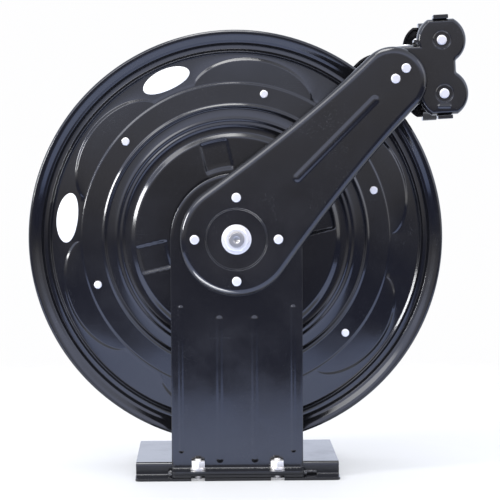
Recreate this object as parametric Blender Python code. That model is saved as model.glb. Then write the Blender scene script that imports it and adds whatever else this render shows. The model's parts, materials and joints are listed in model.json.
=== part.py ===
"""A spring-rewind hose reel with twin pedestals, twin guide arms and a four-way roller guide.

Units are metres and +Z is up. The reel's front faces -Y and its spool turns about a line along Y.
The origin is the middle of the base plate's top face, in the spool's mid plane.
Flat and turned pieces are drawn in their own XY plane with +Z pointing out of the reel,
and side_matrix() stands them on the front or on the rear side.
"""
import math

import bmesh
import bpy
from mathutils import Matrix, Vector

MM = 0.001
GAP = 0.3 * MM

# Base plate
BASE_WIDTH = 232 * MM
BASE_DEPTH = 176 * MM
BASE_HEIGHT = 17 * MM
BASE_SHEET = 3 * MM
BASE_LIP = 30 * MM
BASE_BEND = 3 * MM
LIP_CORNER = 6 * MM
SLOT_WIDTH = 15.6 * MM
SLOT_DEPTH = 24 * MM

# Pedestals
HUB_HEIGHT = 255 * MM
PEDESTAL_WIDTH = 150 * MM
PEDESTAL_SHEET = 3 * MM
PEDESTAL_BEND = 3 * MM
RIB_HEIGHT = 2 * MM
INNER_RIB_X = 20 * MM
INNER_RIB_WIDTH = 9 * MM
INNER_RIB_TOP = 91 * MM
INNER_RIB_BOTTOM = 249 * MM
OUTER_RIB_X = 64 * MM
OUTER_RIB_WIDTH = 7.6 * MM
OUTER_RIB_TOP = 78 * MM
OUTER_RIB_BOTTOM = 241 * MM
STUD_X = 45 * MM
STUD_OUT = 14 * MM
FOOT_THICKNESS = 7.2 * MM
FOOT_NOTCH = 2.2 * MM
FOOT_BAR_BACK = 3.4 * MM
STUD_RADIUS = 4 * MM
STUD_HEAD_RADIUS = 7 * MM
STUD_HEAD_HEIGHT = 4.2 * MM
STUD_PROUD = 3.6 * MM
NUT_HEIGHT = 11.2 * MM
NUT_FLANGE_RADIUS = 8.6 * MM

# Guide arms
ARM_ANGLE = math.radians(45)
ARM_LENGTH = 252 * MM
ARM_HUB_RADIUS = 65 * MM
ARM_TIP_RADIUS = 39 * MM
ARM_TAPER_POWER = 1.6
ARM_DEPTH = 8 * MM
ARM_SHEET = 2.5 * MM
ARM_EDGE_BEND = 6 * MM
ARM_DISH_RADIUS = 35 * MM
ARM_DISH_DEPTH = 2 * MM
ARM_RIB_START = 98 * MM
ARM_RIB_SHORT = 30 * MM
ARM_RIB_END = ARM_LENGTH - ARM_RIB_SHORT
ARM_RIB_WIDTH = 11 * MM
ARM_PAD_RADIUS = 8 * MM
ARM_BOLT_OUT = 3.5 * MM
ARM_BOLT_PITCH = 16.8 * MM
ARM_BOLT_NEAR = ARM_LENGTH + ARM_BOLT_OUT
ARM_BOLT_FAR = ARM_BOLT_NEAR + ARM_BOLT_PITCH

# Fasteners
BOLT_RADIUS = 3 * MM
BOLT_HEAD_RADIUS = 5.8 * MM
BOLT_HEAD_HEIGHT = 4 * MM
BOLT_CLEARANCE = 0.9 * MM
HUB_BOLT_CIRCLE = 47.5 * MM

# Shaft
SHAFT_RADIUS = 12.5 * MM
SHAFT_END_RADIUS = 8.5 * MM
SHAFT_END_PROUD = 4 * MM
SHAFT_BORE_RADIUS = 4.5 * MM
HUB_NUT_RADIUS = 17 * MM
HUB_NUT_HEIGHT = 7 * MM
RUNNING_CLEARANCE = 0.4 * MM

# Spool
DISC_RADIUS = 240 * MM
DISC_SHEET = 1.5 * MM
SPOOL_WIDTH = 96 * MM
HUB_HOLE_RADIUS = 32 * MM
DRUM_RADIUS = 178 * MM
DRUM_SHEET = 2 * MM
DRUM_FLANGE = 18 * MM
DRUM_SEGMENTS = 24
DISC_BOLT_IN = 9.5 * MM
DISC_BOLT_CIRCLE = DRUM_RADIUS - DISC_BOLT_IN
DISC_BOLT_TURN = math.radians(18.6)
DISC_BOLTS = 6
PLATEAU_RADIUS = 116 * MM
PLATEAU_HEIGHT = 5 * MM
LOBE_MARGIN = 1 * MM
LOBE_INNER = DRUM_RADIUS + LOBE_MARGIN
LOBE_OUTER = LOBE_INNER + 0.426 * (DISC_RADIUS - LOBE_INNER)
LOBE_HALF_ANGLE = math.radians(22)
LOBE_TURN = math.radians(21.5)
LOBE_WALL = 3 * MM
CONE_OUTER = LOBE_INNER + 0.541 * (DISC_RADIUS - LOBE_INNER)
CONE_DROP = 6 * MM
RIM_INNER = LOBE_INNER + 0.787 * (DISC_RADIUS - LOBE_INNER)
RIM_RISE = 6 * MM
RIM_DIP = 2 * MM
DISC_SEGMENTS = 36

# Hubs and bushes
HUB_FLANGE_RADIUS = 50 * MM
HUB_FLANGE_HEIGHT = 5 * MM
HUB_COLLAR_RADIUS = 30 * MM
HUB_SPIGOT_DEPTH = 5 * MM
BUSH_WALL = 5 * MM
BUSH_FLANGE = 3.4 * MM

# Power spring and its case
CASE_CLEARANCE = 10 * MM
CASE_RADIUS = DRUM_RADIUS - DRUM_FLANGE - CASE_CLEARANCE
CASE_SHEET = 2 * MM
CASE_DEPTH = 36 * MM
ARBOR_RADIUS = 24 * MM
SPRING_TURNS = 4
SPRING_POINTS_PER_TURN = 12
SPRING_THICKNESS = 1.5 * MM
SPRING_SIDE_CLEARANCE = 1 * MM

# Water path
SWIVEL_RADIUS = 28 * MM
SWIVEL_LENGTH = 30 * MM
OUTLET_ANGLE = math.radians(120)
OUTLET_RADIUS = 8 * MM
OUTLET_BORE = 4.5 * MM
OUTLET_PROUD = 14 * MM
INLET_RADIUS = 11 * MM
INLET_BEND = 16 * MM
INLET_DROP = 22 * MM

# Ratchet
RATCHET_TEETH = 12
RATCHET_TIP = 54 * MM
RATCHET_ROOT = 45 * MM
RATCHET_THICKNESS = 5 * MM
PAWL_PIVOT_RADIUS = 72 * MM
PAWL_PIVOT_ANGLE = math.radians(-45)
PAWL_NOSE_ANGLE = math.radians(-82)
PAWL_NOSE_CLEARANCE = 2 * MM
PAWL_NOSE_WIDTH = 5 * MM
PAWL_BOSS_RADIUS = 9 * MM
PAWL_SWING = math.radians(16)
PAWL_PIN_RADIUS = 4 * MM
PAWL_SPACER_RADIUS = 5.5 * MM
PAWL_SPRING_WIRE = 0.7 * MM
PAWL_SPRING_TURNS = 4

# Roller guide, measured from the spool's axis
UPPER_ROLLER_OUT = 55.7 * MM
UPPER_ROLLER_UP = 46.3 * MM
LOWER_ROLLER_OUT = 58.7 * MM
LOWER_ROLLER_DOWN = 14.1 * MM
UPPER_ROLLER_X = ARM_LENGTH * math.cos(ARM_ANGLE) + UPPER_ROLLER_OUT
UPPER_ROLLER_Z = ARM_LENGTH * math.sin(ARM_ANGLE) + UPPER_ROLLER_UP
LOWER_ROLLER_X = ARM_LENGTH * math.cos(ARM_ANGLE) + LOWER_ROLLER_OUT
LOWER_ROLLER_Z = ARM_LENGTH * math.sin(ARM_ANGLE) - LOWER_ROLLER_DOWN
LOBE_PLATE_RADIUS = 28.3 * MM
LOBE_FLAT = 24 * MM
WAIST_HALF_WIDTH = 15.3 * MM
WAIST_FILLET = 3 * MM
LUG_REACH = 48 * MM
LUG_HALF_WIDTH = 26 * MM
GUIDE_PLATE_DEPTH = 9 * MM
GUIDE_PLATE_SHEET = 2.5 * MM
GUIDE_PLATE_BEND = 4 * MM
DISH_RADIUS = 15 * MM
DISH_DEPTH = 1.5 * MM
ROLLER_RADIUS = 12.5 * MM
ROLLER_PIN_RADIUS = 4 * MM
ROLLER_END_PLAY = 0.6 * MM
UPRIGHT_ROLLER_RADIUS = 9 * MM
UPRIGHT_ROLLER_SPACE = 3 * MM
UPRIGHT_ROLLER_CLEARANCE = 1 * MM
TAB_SHEET = 3 * MM
TAB_WIDTH = 14 * MM
TIE_BAR_WIDTH = 17 * MM
TIE_BAR_THICKNESS = 4.5 * MM
TIE_BAR_OUT = 14.6 * MM
TIE_BAR_SEAT = 14 * MM
TIE_BAR_CRANK = 8 * MM

# Places worked out from the sizes above
FLOOR = -BASE_HEIGHT
LIP_TOP = FLOOR + BASE_SHEET
PEDESTAL_BACK = BASE_DEPTH / 2 + GAP
PEDESTAL_FACE = PEDESTAL_BACK + PEDESTAL_SHEET
FOOT_BACK = LIP_TOP + GAP
FOOT_TOP = FOOT_BACK + FOOT_THICKNESS
FOOT_EDGE = BASE_DEPTH / 2 + BASE_LIP
ARM_BACK = PEDESTAL_FACE + GAP
ARM_FACE = ARM_BACK + ARM_DEPTH
DISH_FACE = ARM_FACE - ARM_DISH_DEPTH
DISC_FACE = SPOOL_WIDTH / 2
DISC_BACK = DISC_FACE - DISC_SHEET
PLATEAU_FACE = DISC_FACE + PLATEAU_HEIGHT
HUB_FLANGE_FACE = PLATEAU_FACE + GAP + HUB_FLANGE_HEIGHT
RATCHET_FACE = HUB_FLANGE_FACE + GAP + RATCHET_THICKNESS
GUIDE_FACE = PEDESTAL_FACE
UPRIGHT_ROLLER_IN = GUIDE_PLATE_DEPTH + UPRIGHT_ROLLER_RADIUS + UPRIGHT_ROLLER_CLEARANCE
BUSH_BORE_RADIUS = SHAFT_RADIUS + RUNNING_CLEARANCE
BUSH_RADIUS = BUSH_BORE_RADIUS + BUSH_WALL
SPIGOT_END = PLATEAU_FACE - HUB_SPIGOT_DEPTH
CASE_FACE = DISC_BACK - GAP
HUB_COLLAR_END = PEDESTAL_BACK - BUSH_FLANGE - 3 * GAP

SIDES = (("front", 1), ("rear", -1))
QUARTER_TURN = math.pi / 2


def clear_scene():
    """Remove every object, so that the script starts from nothing."""
    for old in list(bpy.data.objects):
        bpy.data.objects.remove(old, do_unlink=True)


def make_material(name, colour, roughness, metallic):
    """Return a Principled material with one plain colour."""
    material = bpy.data.materials.new(name)
    material.use_nodes = True
    shader = material.node_tree.nodes["Principled BSDF"]
    shader.inputs["Base Color"].default_value = (*colour, 1)
    shader.inputs["Roughness"].default_value = roughness
    shader.inputs["Metallic"].default_value = metallic
    material.diffuse_color = (*colour, 1)
    return material


def make_materials():
    """Return the materials by name."""
    looks = {
        "black_paint": ((0.022, 0.023, 0.028), 0.18, 0.0),
        "zinc": ((0.78, 0.79, 0.81), 0.28, 1.0),
        "brass": ((0.72, 0.55, 0.25), 0.3, 1.0),
        "bronze": ((0.5, 0.36, 0.2), 0.4, 1.0),
        "spring_steel": ((0.25, 0.26, 0.3), 0.35, 1.0),
        "nylon": ((0.03, 0.03, 0.032), 0.45, 0.0),
    }
    return {name: make_material(name, *look) for name, look in looks.items()}


def side_matrix(side, out=0.0, x=0.0, z=HUB_HEIGHT):
    """Stand a drawing's XY plane upright at X x and height z, out metres from the spool's mid plane."""
    upright = Matrix.Rotation(QUARTER_TURN, 4, "X")
    facing = Matrix.Rotation(0 if side > 0 else math.pi, 4, "Z")
    return Matrix.Translation((x, -side * out, z)) @ facing @ upright


def polar(radius, angle, centre=(0.0, 0.0)):
    """Return the point at a radius and angle from a centre."""
    return centre[0] + radius * math.cos(angle), centre[1] + radius * math.sin(angle)


def arc(centre, radius, start, end, steps):
    """Return steps + 1 points along an arc."""
    return [polar(radius, start + (end - start) * i / steps, centre) for i in range(steps + 1)]


def circle(centre, radius, steps, turn=0.0):
    """Return the points of a circle."""
    return [polar(radius, turn + math.tau * i / steps, centre) for i in range(steps)]


def stadium(start, end, radius, steps=3):
    """Return the outline of a slot with round ends."""
    angle = math.atan2(end[1] - start[1], end[0] - start[0])
    points = arc(end, radius, angle - QUARTER_TURN, angle + QUARTER_TURN, steps)
    return points + arc(start, radius, angle + QUARTER_TURN, angle + 3 * QUARTER_TURN, steps)


def mirrored(points, side):
    """Return the points as the rear side draws them: what is at +X stays at +X on the reel."""
    return [(side * x, y) for x, y in points]


def add_ring(bm, points, height=0.0):
    """Add a closed loop of vertices and edges at a height, and return its vertices."""
    ring = [bm.verts.new((x, y, height)) for x, y in points]
    for i, vertex in enumerate(ring):
        bm.edges.new((ring[i - 1], vertex))
    return ring


def ring_edges(bm, ring):
    """Return the edges of a closed loop."""
    return [bm.edges.get((ring[i - 1], vertex)) for i, vertex in enumerate(ring)]


def bridge(bm, lower, upper):
    """Join two closed loops that have the same number of vertices."""
    for i in range(len(lower)):
        bm.faces.new((lower[i - 1], lower[i], upper[i], upper[i - 1]))


def fill(bm, rings):
    """Fill the flat area inside the first loop and outside the others."""
    edges = [edge for ring in rings for edge in ring_edges(bm, ring)]
    bmesh.ops.triangle_fill(bm, use_beauty=True, use_dissolve=False, edges=edges)


def emboss(bm, outline, inner_outline, rise, holes=()):
    """Raise or sink the area inside an outline, and return the outline's loop for the sheet round it."""
    foot = add_ring(bm, outline)
    top = add_ring(bm, inner_outline, rise)
    bridge(bm, foot, top)
    fill(bm, [top] + [add_ring(bm, hole, rise) for hole in holes])
    return foot


def face_outwards(bm):
    """Make the faces of an open sheet agree, most of them facing +Z."""
    bmesh.ops.recalc_face_normals(bm, faces=bm.faces)
    if sum(face.normal.z * face.calc_area() for face in bm.faces) < 0:
        bmesh.ops.reverse_faces(bm, faces=bm.faces)


def make_object(name, bm, material, matrix, closed=True):
    """Turn a bmesh into an object with smooth shading."""
    if closed:
        bmesh.ops.recalc_face_normals(bm, faces=bm.faces)
    mesh = bpy.data.meshes.new(name)
    bm.to_mesh(mesh)
    bm.free()
    mesh.materials.append(material)
    mesh.shade_smooth()
    mesh.set_sharp_from_angle(angle=math.radians(35))
    item = bpy.data.objects.new(name, mesh)
    bpy.context.scene.collection.objects.link(item)
    item.matrix_world = matrix
    return item


def make_sheet(name, bm, thickness, material, matrix):
    """Turn an open sheet into an object, thickened away from the side that faces out."""
    face_outwards(bm)
    item = make_object(name, bm, material, matrix, closed=False)
    solidify = item.modifiers.new("Sheet", "SOLIDIFY")
    solidify.thickness = thickness
    solidify.offset = -1
    solidify.use_even_offset = True
    return item


def turned_mesh(profile, steps):
    """Spin a closed profile of (radius, height) points about local Z."""
    bm = bmesh.new()
    points = [bm.verts.new((radius, 0, height)) for radius, height in profile]
    edges = []
    for i, point in enumerate(points):
        if profile[i - 1][0] > 0 or profile[i][0] > 0:
            edges.append(bm.edges.new((points[i - 1], point)))
    bmesh.ops.spin(bm, geom=points + edges, cent=(0, 0, 0), axis=(0, 0, 1), angle=math.tau,
                   steps=steps, use_merge=True)
    bmesh.ops.remove_doubles(bm, verts=bm.verts, dist=1e-6)
    return bm


def turned(name, profile, steps, material, matrix):
    """Make a turned piece from a closed profile of (radius, height) points."""
    return make_object(name, turned_mesh(profile, steps), material, matrix)


def stacked_mesh(levels):
    """Build a solid from closed outlines at rising heights, all with the same number of points."""
    bm = bmesh.new()
    rings = [add_ring(bm, points, height) for points, height in levels]
    for lower, upper in zip(rings, rings[1:]):
        bridge(bm, lower, upper)
    bm.faces.new(rings[0])
    bm.faces.new(rings[-1])
    return bm


def cutter(name, bm):
    """Make a hidden tool for a Boolean."""
    bmesh.ops.recalc_face_normals(bm, faces=bm.faces)
    mesh = bpy.data.meshes.new(name)
    bm.to_mesh(mesh)
    bm.free()
    item = bpy.data.objects.new(name, mesh)
    bpy.context.scene.collection.objects.link(item)
    item.hide_render = True
    item.display_type = "WIRE"
    return item


def combine(item, tool, operation):
    """Add or cut a tool's shape, with the tool standing where the item stands."""
    tool.matrix_world = item.matrix_world
    boolean = item.modifiers.new(tool.name, "BOOLEAN")
    boolean.operation = operation
    boolean.object = tool


def posts_mesh(centres, radius, bottom, top, steps=8):
    """Build one upright cylinder on each centre."""
    bm = bmesh.new()
    for centre in centres:
        rings = [add_ring(bm, circle(centre, radius, steps), height) for height in (bottom, top)]
        bridge(bm, *rings)
        for ring in rings:
            bm.faces.new(ring)
    return bm


def bolt(name, radius, head_radius, head_height, grip_top, grip_bottom, nut_height, material, matrix):
    """Make a hexagon bolt with its nut: head above grip_top, nut under grip_bottom."""
    def outline(size):
        return circle((0, 0), size, 6)

    levels = [
        (outline(head_radius), grip_bottom - nut_height),
        (outline(head_radius), grip_bottom),
        (outline(radius), grip_bottom),
        (outline(radius), grip_top),
        (outline(head_radius), grip_top),
        (outline(head_radius), grip_top + head_height),
    ]
    return make_object(name, stacked_mesh(levels), material, matrix)


def turned_out_edge(depth_edge, half_width, corner, inner_edge, slots=()):
    """Return the outline of a lip or foot: round outer corners, and slots open at its edge."""
    points = [(-half_width, inner_edge), (half_width, inner_edge)]
    points += arc((half_width - corner, depth_edge - corner), corner, 0, QUARTER_TURN, 2)
    for x in slots:
        top = depth_edge - SLOT_DEPTH + SLOT_WIDTH / 2
        points += [(x + SLOT_WIDTH / 2, depth_edge)]
        points += arc((x, top), SLOT_WIDTH / 2, 0, -math.pi, 4)
        points += [(x - SLOT_WIDTH / 2, depth_edge)]
    points += arc((corner - half_width, depth_edge - corner), corner, QUARTER_TURN, math.pi, 2)
    return points


def stud_holes(wider=0.0):
    """Return the two stud holes in a foot, measured out from the base's mid plane."""
    radius = STUD_RADIUS + BOLT_CLEARANCE + wider
    return [circle((x, BASE_DEPTH / 2 + STUD_OUT), radius, 12) for x in (STUD_X, -STUD_X)]


def add_base_plate(materials):
    """Make the base: a hat section whose lips carry the pedestals' feet."""
    bm = bmesh.new()
    half = BASE_WIDTH / 2
    face = BASE_DEPTH / 2
    rows = []
    for sign in (-1, 1):
        foot_bend = [
            (sign * (face + BASE_BEND - BASE_BEND * math.sin(a)), LIP_TOP + BASE_BEND - BASE_BEND * math.cos(a))
            for a in (QUARTER_TURN * i / 2 for i in range(3))
        ]
        top_radius = BASE_BEND + BASE_SHEET
        top_bend = [
            (sign * (face - top_radius + top_radius * math.cos(a)), top_radius * math.sin(a) - top_radius)
            for a in (QUARTER_TURN * i / 3 for i in range(4))
        ]
        rows.append(foot_bend + top_bend)
    path = rows[0] + rows[1][::-1]
    strips = [[bm.verts.new((x, y, z)) for x in (-half, half)] for y, z in path]
    for near, far in zip(strips, strips[1:]):
        bm.faces.new((near[0], near[1], far[1], far[0]))
    for sign, strip in ((-1, strips[0]), (1, strips[-1])):
        outline = turned_out_edge(FOOT_EDGE, half, LIP_CORNER, face + BASE_BEND, (STUD_X, -STUD_X))
        ring = strip + [bm.verts.new((x, sign * y, LIP_TOP)) for x, y in outline[2:]]
        for i, vertex in enumerate(ring):
            if not bm.edges.get((ring[i - 1], vertex)):
                bm.edges.new((ring[i - 1], vertex))
        fill(bm, [ring])
    return make_sheet("base_plate", bm, BASE_SHEET, materials["black_paint"], Matrix())


def rib_outlines(start, end, width):
    """Return the foot and the crest outline of a pressed rib."""
    crest = width / 2 - RIB_HEIGHT * 0.6
    return stadium(start, end, width / 2), stadium(start, end, crest)


def add_pedestal(name, side, materials):
    """Make a pedestal: a plate with a round top and pressed ribs, its foot turned out over the lip."""
    bm = bmesh.new()
    half = PEDESTAL_WIDTH / 2
    foot_level = FOOT_TOP - HUB_HEIGHT
    bend_top = foot_level + PEDESTAL_BEND
    outline = [(-half, bend_top), (half, bend_top)] + arc((0, 0), half, 0, math.pi, 16)
    plate = add_ring(bm, outline)
    shaft_hole = add_ring(bm, circle((0, 0), SHAFT_END_RADIUS + BOLT_CLEARANCE, 12))
    loops = [plate, shaft_hole]
    for i in range(4):
        centre = polar(HUB_BOLT_CIRCLE, QUARTER_TURN * i)
        loops.append(add_ring(bm, circle(centre, BOLT_RADIUS + BOLT_CLEARANCE, 6)))
    ribs = (
        (INNER_RIB_X, INNER_RIB_TOP, INNER_RIB_BOTTOM, INNER_RIB_WIDTH),
        (OUTER_RIB_X, OUTER_RIB_TOP, OUTER_RIB_BOTTOM, OUTER_RIB_WIDTH),
    )
    for x, top, bottom, width in ribs:
        for sign in (-1, 1):
            foot, crest = rib_outlines((sign * x, -bottom), (sign * x, -top), width)
            loops.append(emboss(bm, foot, crest, RIB_HEIGHT))
    fill(bm, loops)
    row = plate[:2]
    for i in range(1, 4):
        angle = QUARTER_TURN * i / 3
        height = PEDESTAL_BEND * (1 - math.cos(angle))
        y = bend_top - PEDESTAL_BEND * math.sin(angle)
        lower = [bm.verts.new((x, y, height)) for x in (-half, half)]
        bm.faces.new((row[0], row[1], lower[1], lower[0]))
        row = lower
    outline = turned_out_edge(FOOT_EDGE, half, LIP_CORNER, PEDESTAL_FACE + PEDESTAL_BEND)
    foot = row + [bm.verts.new((x, foot_level, out - PEDESTAL_FACE)) for x, out in outline[2:]]
    holes = [[bm.verts.new((x, foot_level, out - PEDESTAL_FACE)) for x, out in hole] for hole in stud_holes()]
    for loop in [foot] + holes:
        for i, vertex in enumerate(loop):
            if not bm.edges.get((loop[i - 1], vertex)):
                bm.edges.new((loop[i - 1], vertex))
    fill(bm, [foot] + holes)
    pedestal = make_sheet(name, bm, PEDESTAL_SHEET, materials["black_paint"], side_matrix(side, PEDESTAL_FACE))
    bottom = FOOT_BACK - HUB_HEIGHT
    combine(pedestal, cutter(f"{name}_foot_bar", foot_bar_mesh(bottom)), "UNION")
    notches = bmesh.new()
    for x in (STUD_X, -STUD_X):
        matrix = Matrix.Translation((x, bottom, FOOT_EDGE - SLOT_DEPTH / 2 - PEDESTAL_FACE))
        size = Matrix.Diagonal((SLOT_WIDTH, 2 * FOOT_NOTCH, SLOT_DEPTH + 2 * GAP, 1))
        bmesh.ops.create_cube(notches, size=1, matrix=matrix @ size)
    combine(pedestal, cutter(f"{name}_notches", notches), "DIFFERENCE")
    return pedestal


def foot_bar_mesh(bottom):
    """Build the bar that thickens a foot, bored for the studs and just inside the foot's outline."""
    half = PEDESTAL_WIDTH / 2 - GAP
    outline = turned_out_edge(FOOT_EDGE - GAP, half, LIP_CORNER - GAP, PEDESTAL_FACE + FOOT_BAR_BACK)
    bm = bmesh.new()
    loops = []
    for level in (bottom, FOOT_TOP - HUB_HEIGHT - PEDESTAL_SHEET / 2):
        rings = []
        for loop in [outline] + stud_holes(GAP):
            ring = [bm.verts.new((x, level, out - PEDESTAL_FACE)) for x, out in loop]
            for i, vertex in enumerate(ring):
                bm.edges.new((ring[i - 1], vertex))
            rings.append(ring)
        fill(bm, rings)
        loops.append(rings)
    for lower, upper in zip(*loops):
        bridge(bm, lower, upper)
    return bm


def arm_point(u, v):
    """Turn a place along and across the arm into a place round the spool's axis."""
    return (u * math.cos(ARM_ANGLE) - v * math.sin(ARM_ANGLE),
            u * math.sin(ARM_ANGLE) + v * math.cos(ARM_ANGLE))


def arm_outline(inset):
    """Return the arm's outline, drawn in by inset: two arcs joined by slightly hollow sides."""
    hub = ARM_HUB_RADIUS - inset
    tip = ARM_TIP_RADIUS - inset
    lean = math.atan(ARM_TAPER_POWER * (hub - tip) / ARM_LENGTH)
    start = hub * math.sin(lean)
    width = hub * math.cos(lean)
    steps = 5
    side = []
    for i in range(1, steps):
        share = i / steps
        side.append((start + (ARM_LENGTH - start) * share, tip + (width - tip) * (1 - share) ** ARM_TAPER_POWER))
    points = arc((0, 0), hub, QUARTER_TURN - lean, 3 * QUARTER_TURN + lean, 12)
    points += [(u, -v) for u, v in side]
    points += arc((ARM_LENGTH, 0), tip, -QUARTER_TURN, QUARTER_TURN, 7)
    points += side[::-1]
    return [arm_point(u, v) for u, v in points]


def tray_rings(bm, outline, depth, bend):
    """Add the turned-back edge of a pressed plate, and return the loop of its flat face."""
    rings = [add_ring(bm, outline(0), -depth), add_ring(bm, outline(0), -bend)]
    for angle in (QUARTER_TURN / 2, QUARTER_TURN):
        rings.append(add_ring(bm, outline(bend * (1 - math.cos(angle))), bend * (math.sin(angle) - 1)))
    for lower, upper in zip(rings, rings[1:]):
        bridge(bm, lower, upper)
    return rings[-1]


def add_arm(name, side, materials):
    """Make a guide arm: a pressed tray that stands on pads where its bolts pass."""
    bm = bmesh.new()
    face = tray_rings(bm, lambda inset: mirrored(arm_outline(inset), side), ARM_DEPTH, ARM_EDGE_BEND)
    dish = emboss(
        bm,
        circle((0, 0), ARM_DISH_RADIUS, 20),
        circle((0, 0), ARM_DISH_RADIUS - ARM_DISH_DEPTH, 20),
        -ARM_DISH_DEPTH,
        holes=[circle((0, 0), SHAFT_END_RADIUS + BOLT_CLEARANCE, 12)],
    )
    foot, crest = rib_outlines(arm_point(ARM_RIB_START, 0), arm_point(ARM_RIB_END, 0), ARM_RIB_WIDTH)
    rib = emboss(bm, mirrored(foot, side), mirrored(crest, side), RIB_HEIGHT)
    fill(bm, [face, dish, rib])
    arm = make_sheet(name, bm, ARM_SHEET, materials["black_paint"], side_matrix(side, ARM_FACE))
    places = [polar(HUB_BOLT_CIRCLE, QUARTER_TURN * i) for i in range(4)]
    places += mirrored([arm_point(ARM_BOLT_NEAR, 0), arm_point(ARM_BOLT_FAR, 0)], side)
    pads = posts_mesh(places, ARM_PAD_RADIUS, -ARM_DEPTH, -ARM_SHEET / 2, 6)
    holes = posts_mesh(places, BOLT_RADIUS + BOLT_CLEARANCE, -2 * ARM_DEPTH, ARM_DEPTH, 6)
    combine(arm, cutter(f"{name}_pads", pads), "UNION")
    combine(arm, cutter(f"{name}_holes", holes), "DIFFERENCE")
    return arm


def guide_frame():
    """Return the middle of the two roller pins, half their distance and the lean of their line."""
    centre = ((UPPER_ROLLER_X + LOWER_ROLLER_X) / 2, (UPPER_ROLLER_Z + LOWER_ROLLER_Z) / 2)
    across = UPPER_ROLLER_X - LOWER_ROLLER_X
    up = UPPER_ROLLER_Z - LOWER_ROLLER_Z
    return centre, math.hypot(across, up) / 2, math.atan2(up, across) - QUARTER_TURN


def guide_point(x, y):
    """Turn a place in the guide plate's own frame into a place round the spool's axis."""
    centre, _, lean = guide_frame()
    return (centre[0] + x * math.cos(lean) - y * math.sin(lean),
            centre[1] + x * math.sin(lean) + y * math.cos(lean))


def guide_outline(inset):
    """Return the dog-bone outline: two round lobes with flat ends, a narrow waist and a lug on the left."""
    _, reach, _ = guide_frame()
    lobe = LOBE_PLATE_RADIUS - inset
    lug = LUG_HALF_WIDTH - inset
    fillet_x = WAIST_HALF_WIDTH + WAIST_FILLET
    drop = math.sqrt((LOBE_PLATE_RADIUS + WAIST_FILLET) ** 2 - fillet_x ** 2)
    turn = math.atan2(drop, fillet_x)
    fillet_y = reach - drop
    flat_end = math.asin((LOBE_FLAT - inset) / lobe)
    foot_angle = math.acos(-math.sqrt(lobe ** 2 - (reach - lug) ** 2) / lobe)
    points = arc((0, reach), lobe, -turn, flat_end, 6)
    points += arc((0, reach), lobe, math.pi - flat_end, math.tau - foot_angle, 4)
    points += arc((-LUG_REACH, 0), lug, QUARTER_TURN, 3 * QUARTER_TURN, 7)
    points += arc((0, -reach), lobe, foot_angle, math.pi + flat_end, 4)
    points += arc((0, -reach), lobe, math.tau - flat_end, math.tau + turn, 6)
    points += arc((fillet_x, -fillet_y), WAIST_FILLET + inset, math.pi + turn, math.pi, 2)[1:]
    points += arc((fillet_x, fillet_y), WAIST_FILLET + inset, math.pi, math.pi - turn, 2)[:-1]
    return [guide_point(x, y) for x, y in points]


def add_guide_plate(name, side, materials):
    """Make a side plate of the roller guide, with two tabs for the upright roller."""
    bm = bmesh.new()
    face = tray_rings(bm, lambda inset: mirrored(guide_outline(inset), side), GUIDE_PLATE_DEPTH, GUIDE_PLATE_BEND)
    loops = [face]
    for x, z in ((UPPER_ROLLER_X, UPPER_ROLLER_Z), (LOWER_ROLLER_X, LOWER_ROLLER_Z)):
        centre = (side * x, z)
        hole = circle(centre, ROLLER_PIN_RADIUS + BOLT_CLEARANCE, 8)
        floor = circle(centre, DISH_RADIUS - DISH_DEPTH, 12)
        loops.append(emboss(bm, circle(centre, DISH_RADIUS, 12), floor, -DISH_DEPTH, holes=[hole]))
    for along in (ARM_BOLT_NEAR, ARM_BOLT_FAR):
        x, z = arm_point(along, 0)
        loops.append(add_ring(bm, circle((side * x, z), BOLT_RADIUS + BOLT_CLEARANCE, 6)))
    fill(bm, loops)
    plate = make_sheet(name, bm, GUIDE_PLATE_SHEET, materials["black_paint"], side_matrix(side, GUIDE_FACE))
    tabs = bmesh.new()
    inner = -GUIDE_PLATE_SHEET / 2
    outer = -(UPRIGHT_ROLLER_IN + TAB_WIDTH / 2)
    for low in (upright_roller_bottom() - TAB_SHEET - GAP, upright_roller_top() + GAP):
        matrix = Matrix.Translation((side * upright_roller_x(), low + TAB_SHEET / 2, (inner + outer) / 2))
        size = Matrix.Diagonal((TAB_WIDTH, TAB_SHEET, inner - outer, 1))
        bmesh.ops.create_cube(tabs, size=1, matrix=matrix @ size)
    combine(plate, cutter(f"{name}_tabs", tabs), "UNION")
    pin_hole = posts_mesh([(0, 0)], ROLLER_PIN_RADIUS + GAP, -DISC_RADIUS / 2, DISC_RADIUS / 2)
    hole = cutter(f"{name}_pin_hole", pin_hole)
    combine(plate, hole, "DIFFERENCE")
    hole.matrix_world = Matrix.Translation(upright_roller_place(side))
    return plate


def upright_roller_x():
    """Return the upright rollers' X: just clear of the long rollers, on the reel's side of them."""
    return UPPER_ROLLER_X - ROLLER_RADIUS - UPRIGHT_ROLLER_RADIUS - UPRIGHT_ROLLER_SPACE


def upright_roller_bottom():
    """Return the height of the upright rollers' lower end above the spool's axis."""
    return LOWER_ROLLER_Z + UPRIGHT_ROLLER_SPACE


def upright_roller_top():
    """Return the height of the upright rollers' upper end above the spool's axis."""
    return UPPER_ROLLER_Z - UPRIGHT_ROLLER_SPACE


def upright_roller_place(side):
    """Return the middle of an upright roller."""
    middle = (upright_roller_bottom() + upright_roller_top()) / 2
    return Vector((upright_roller_x(), -side * (GUIDE_FACE - UPRIGHT_ROLLER_IN), HUB_HEIGHT + middle))


def roller_profile(radius, bore, half_length):
    """Return the closed profile of a roller with chamfered rims."""
    rim = radius / 6
    return [
        (bore, -half_length),
        (radius - rim, -half_length),
        (radius, rim - half_length),
        (radius, half_length - rim),
        (radius - rim, half_length),
        (bore, half_length),
    ]


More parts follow.
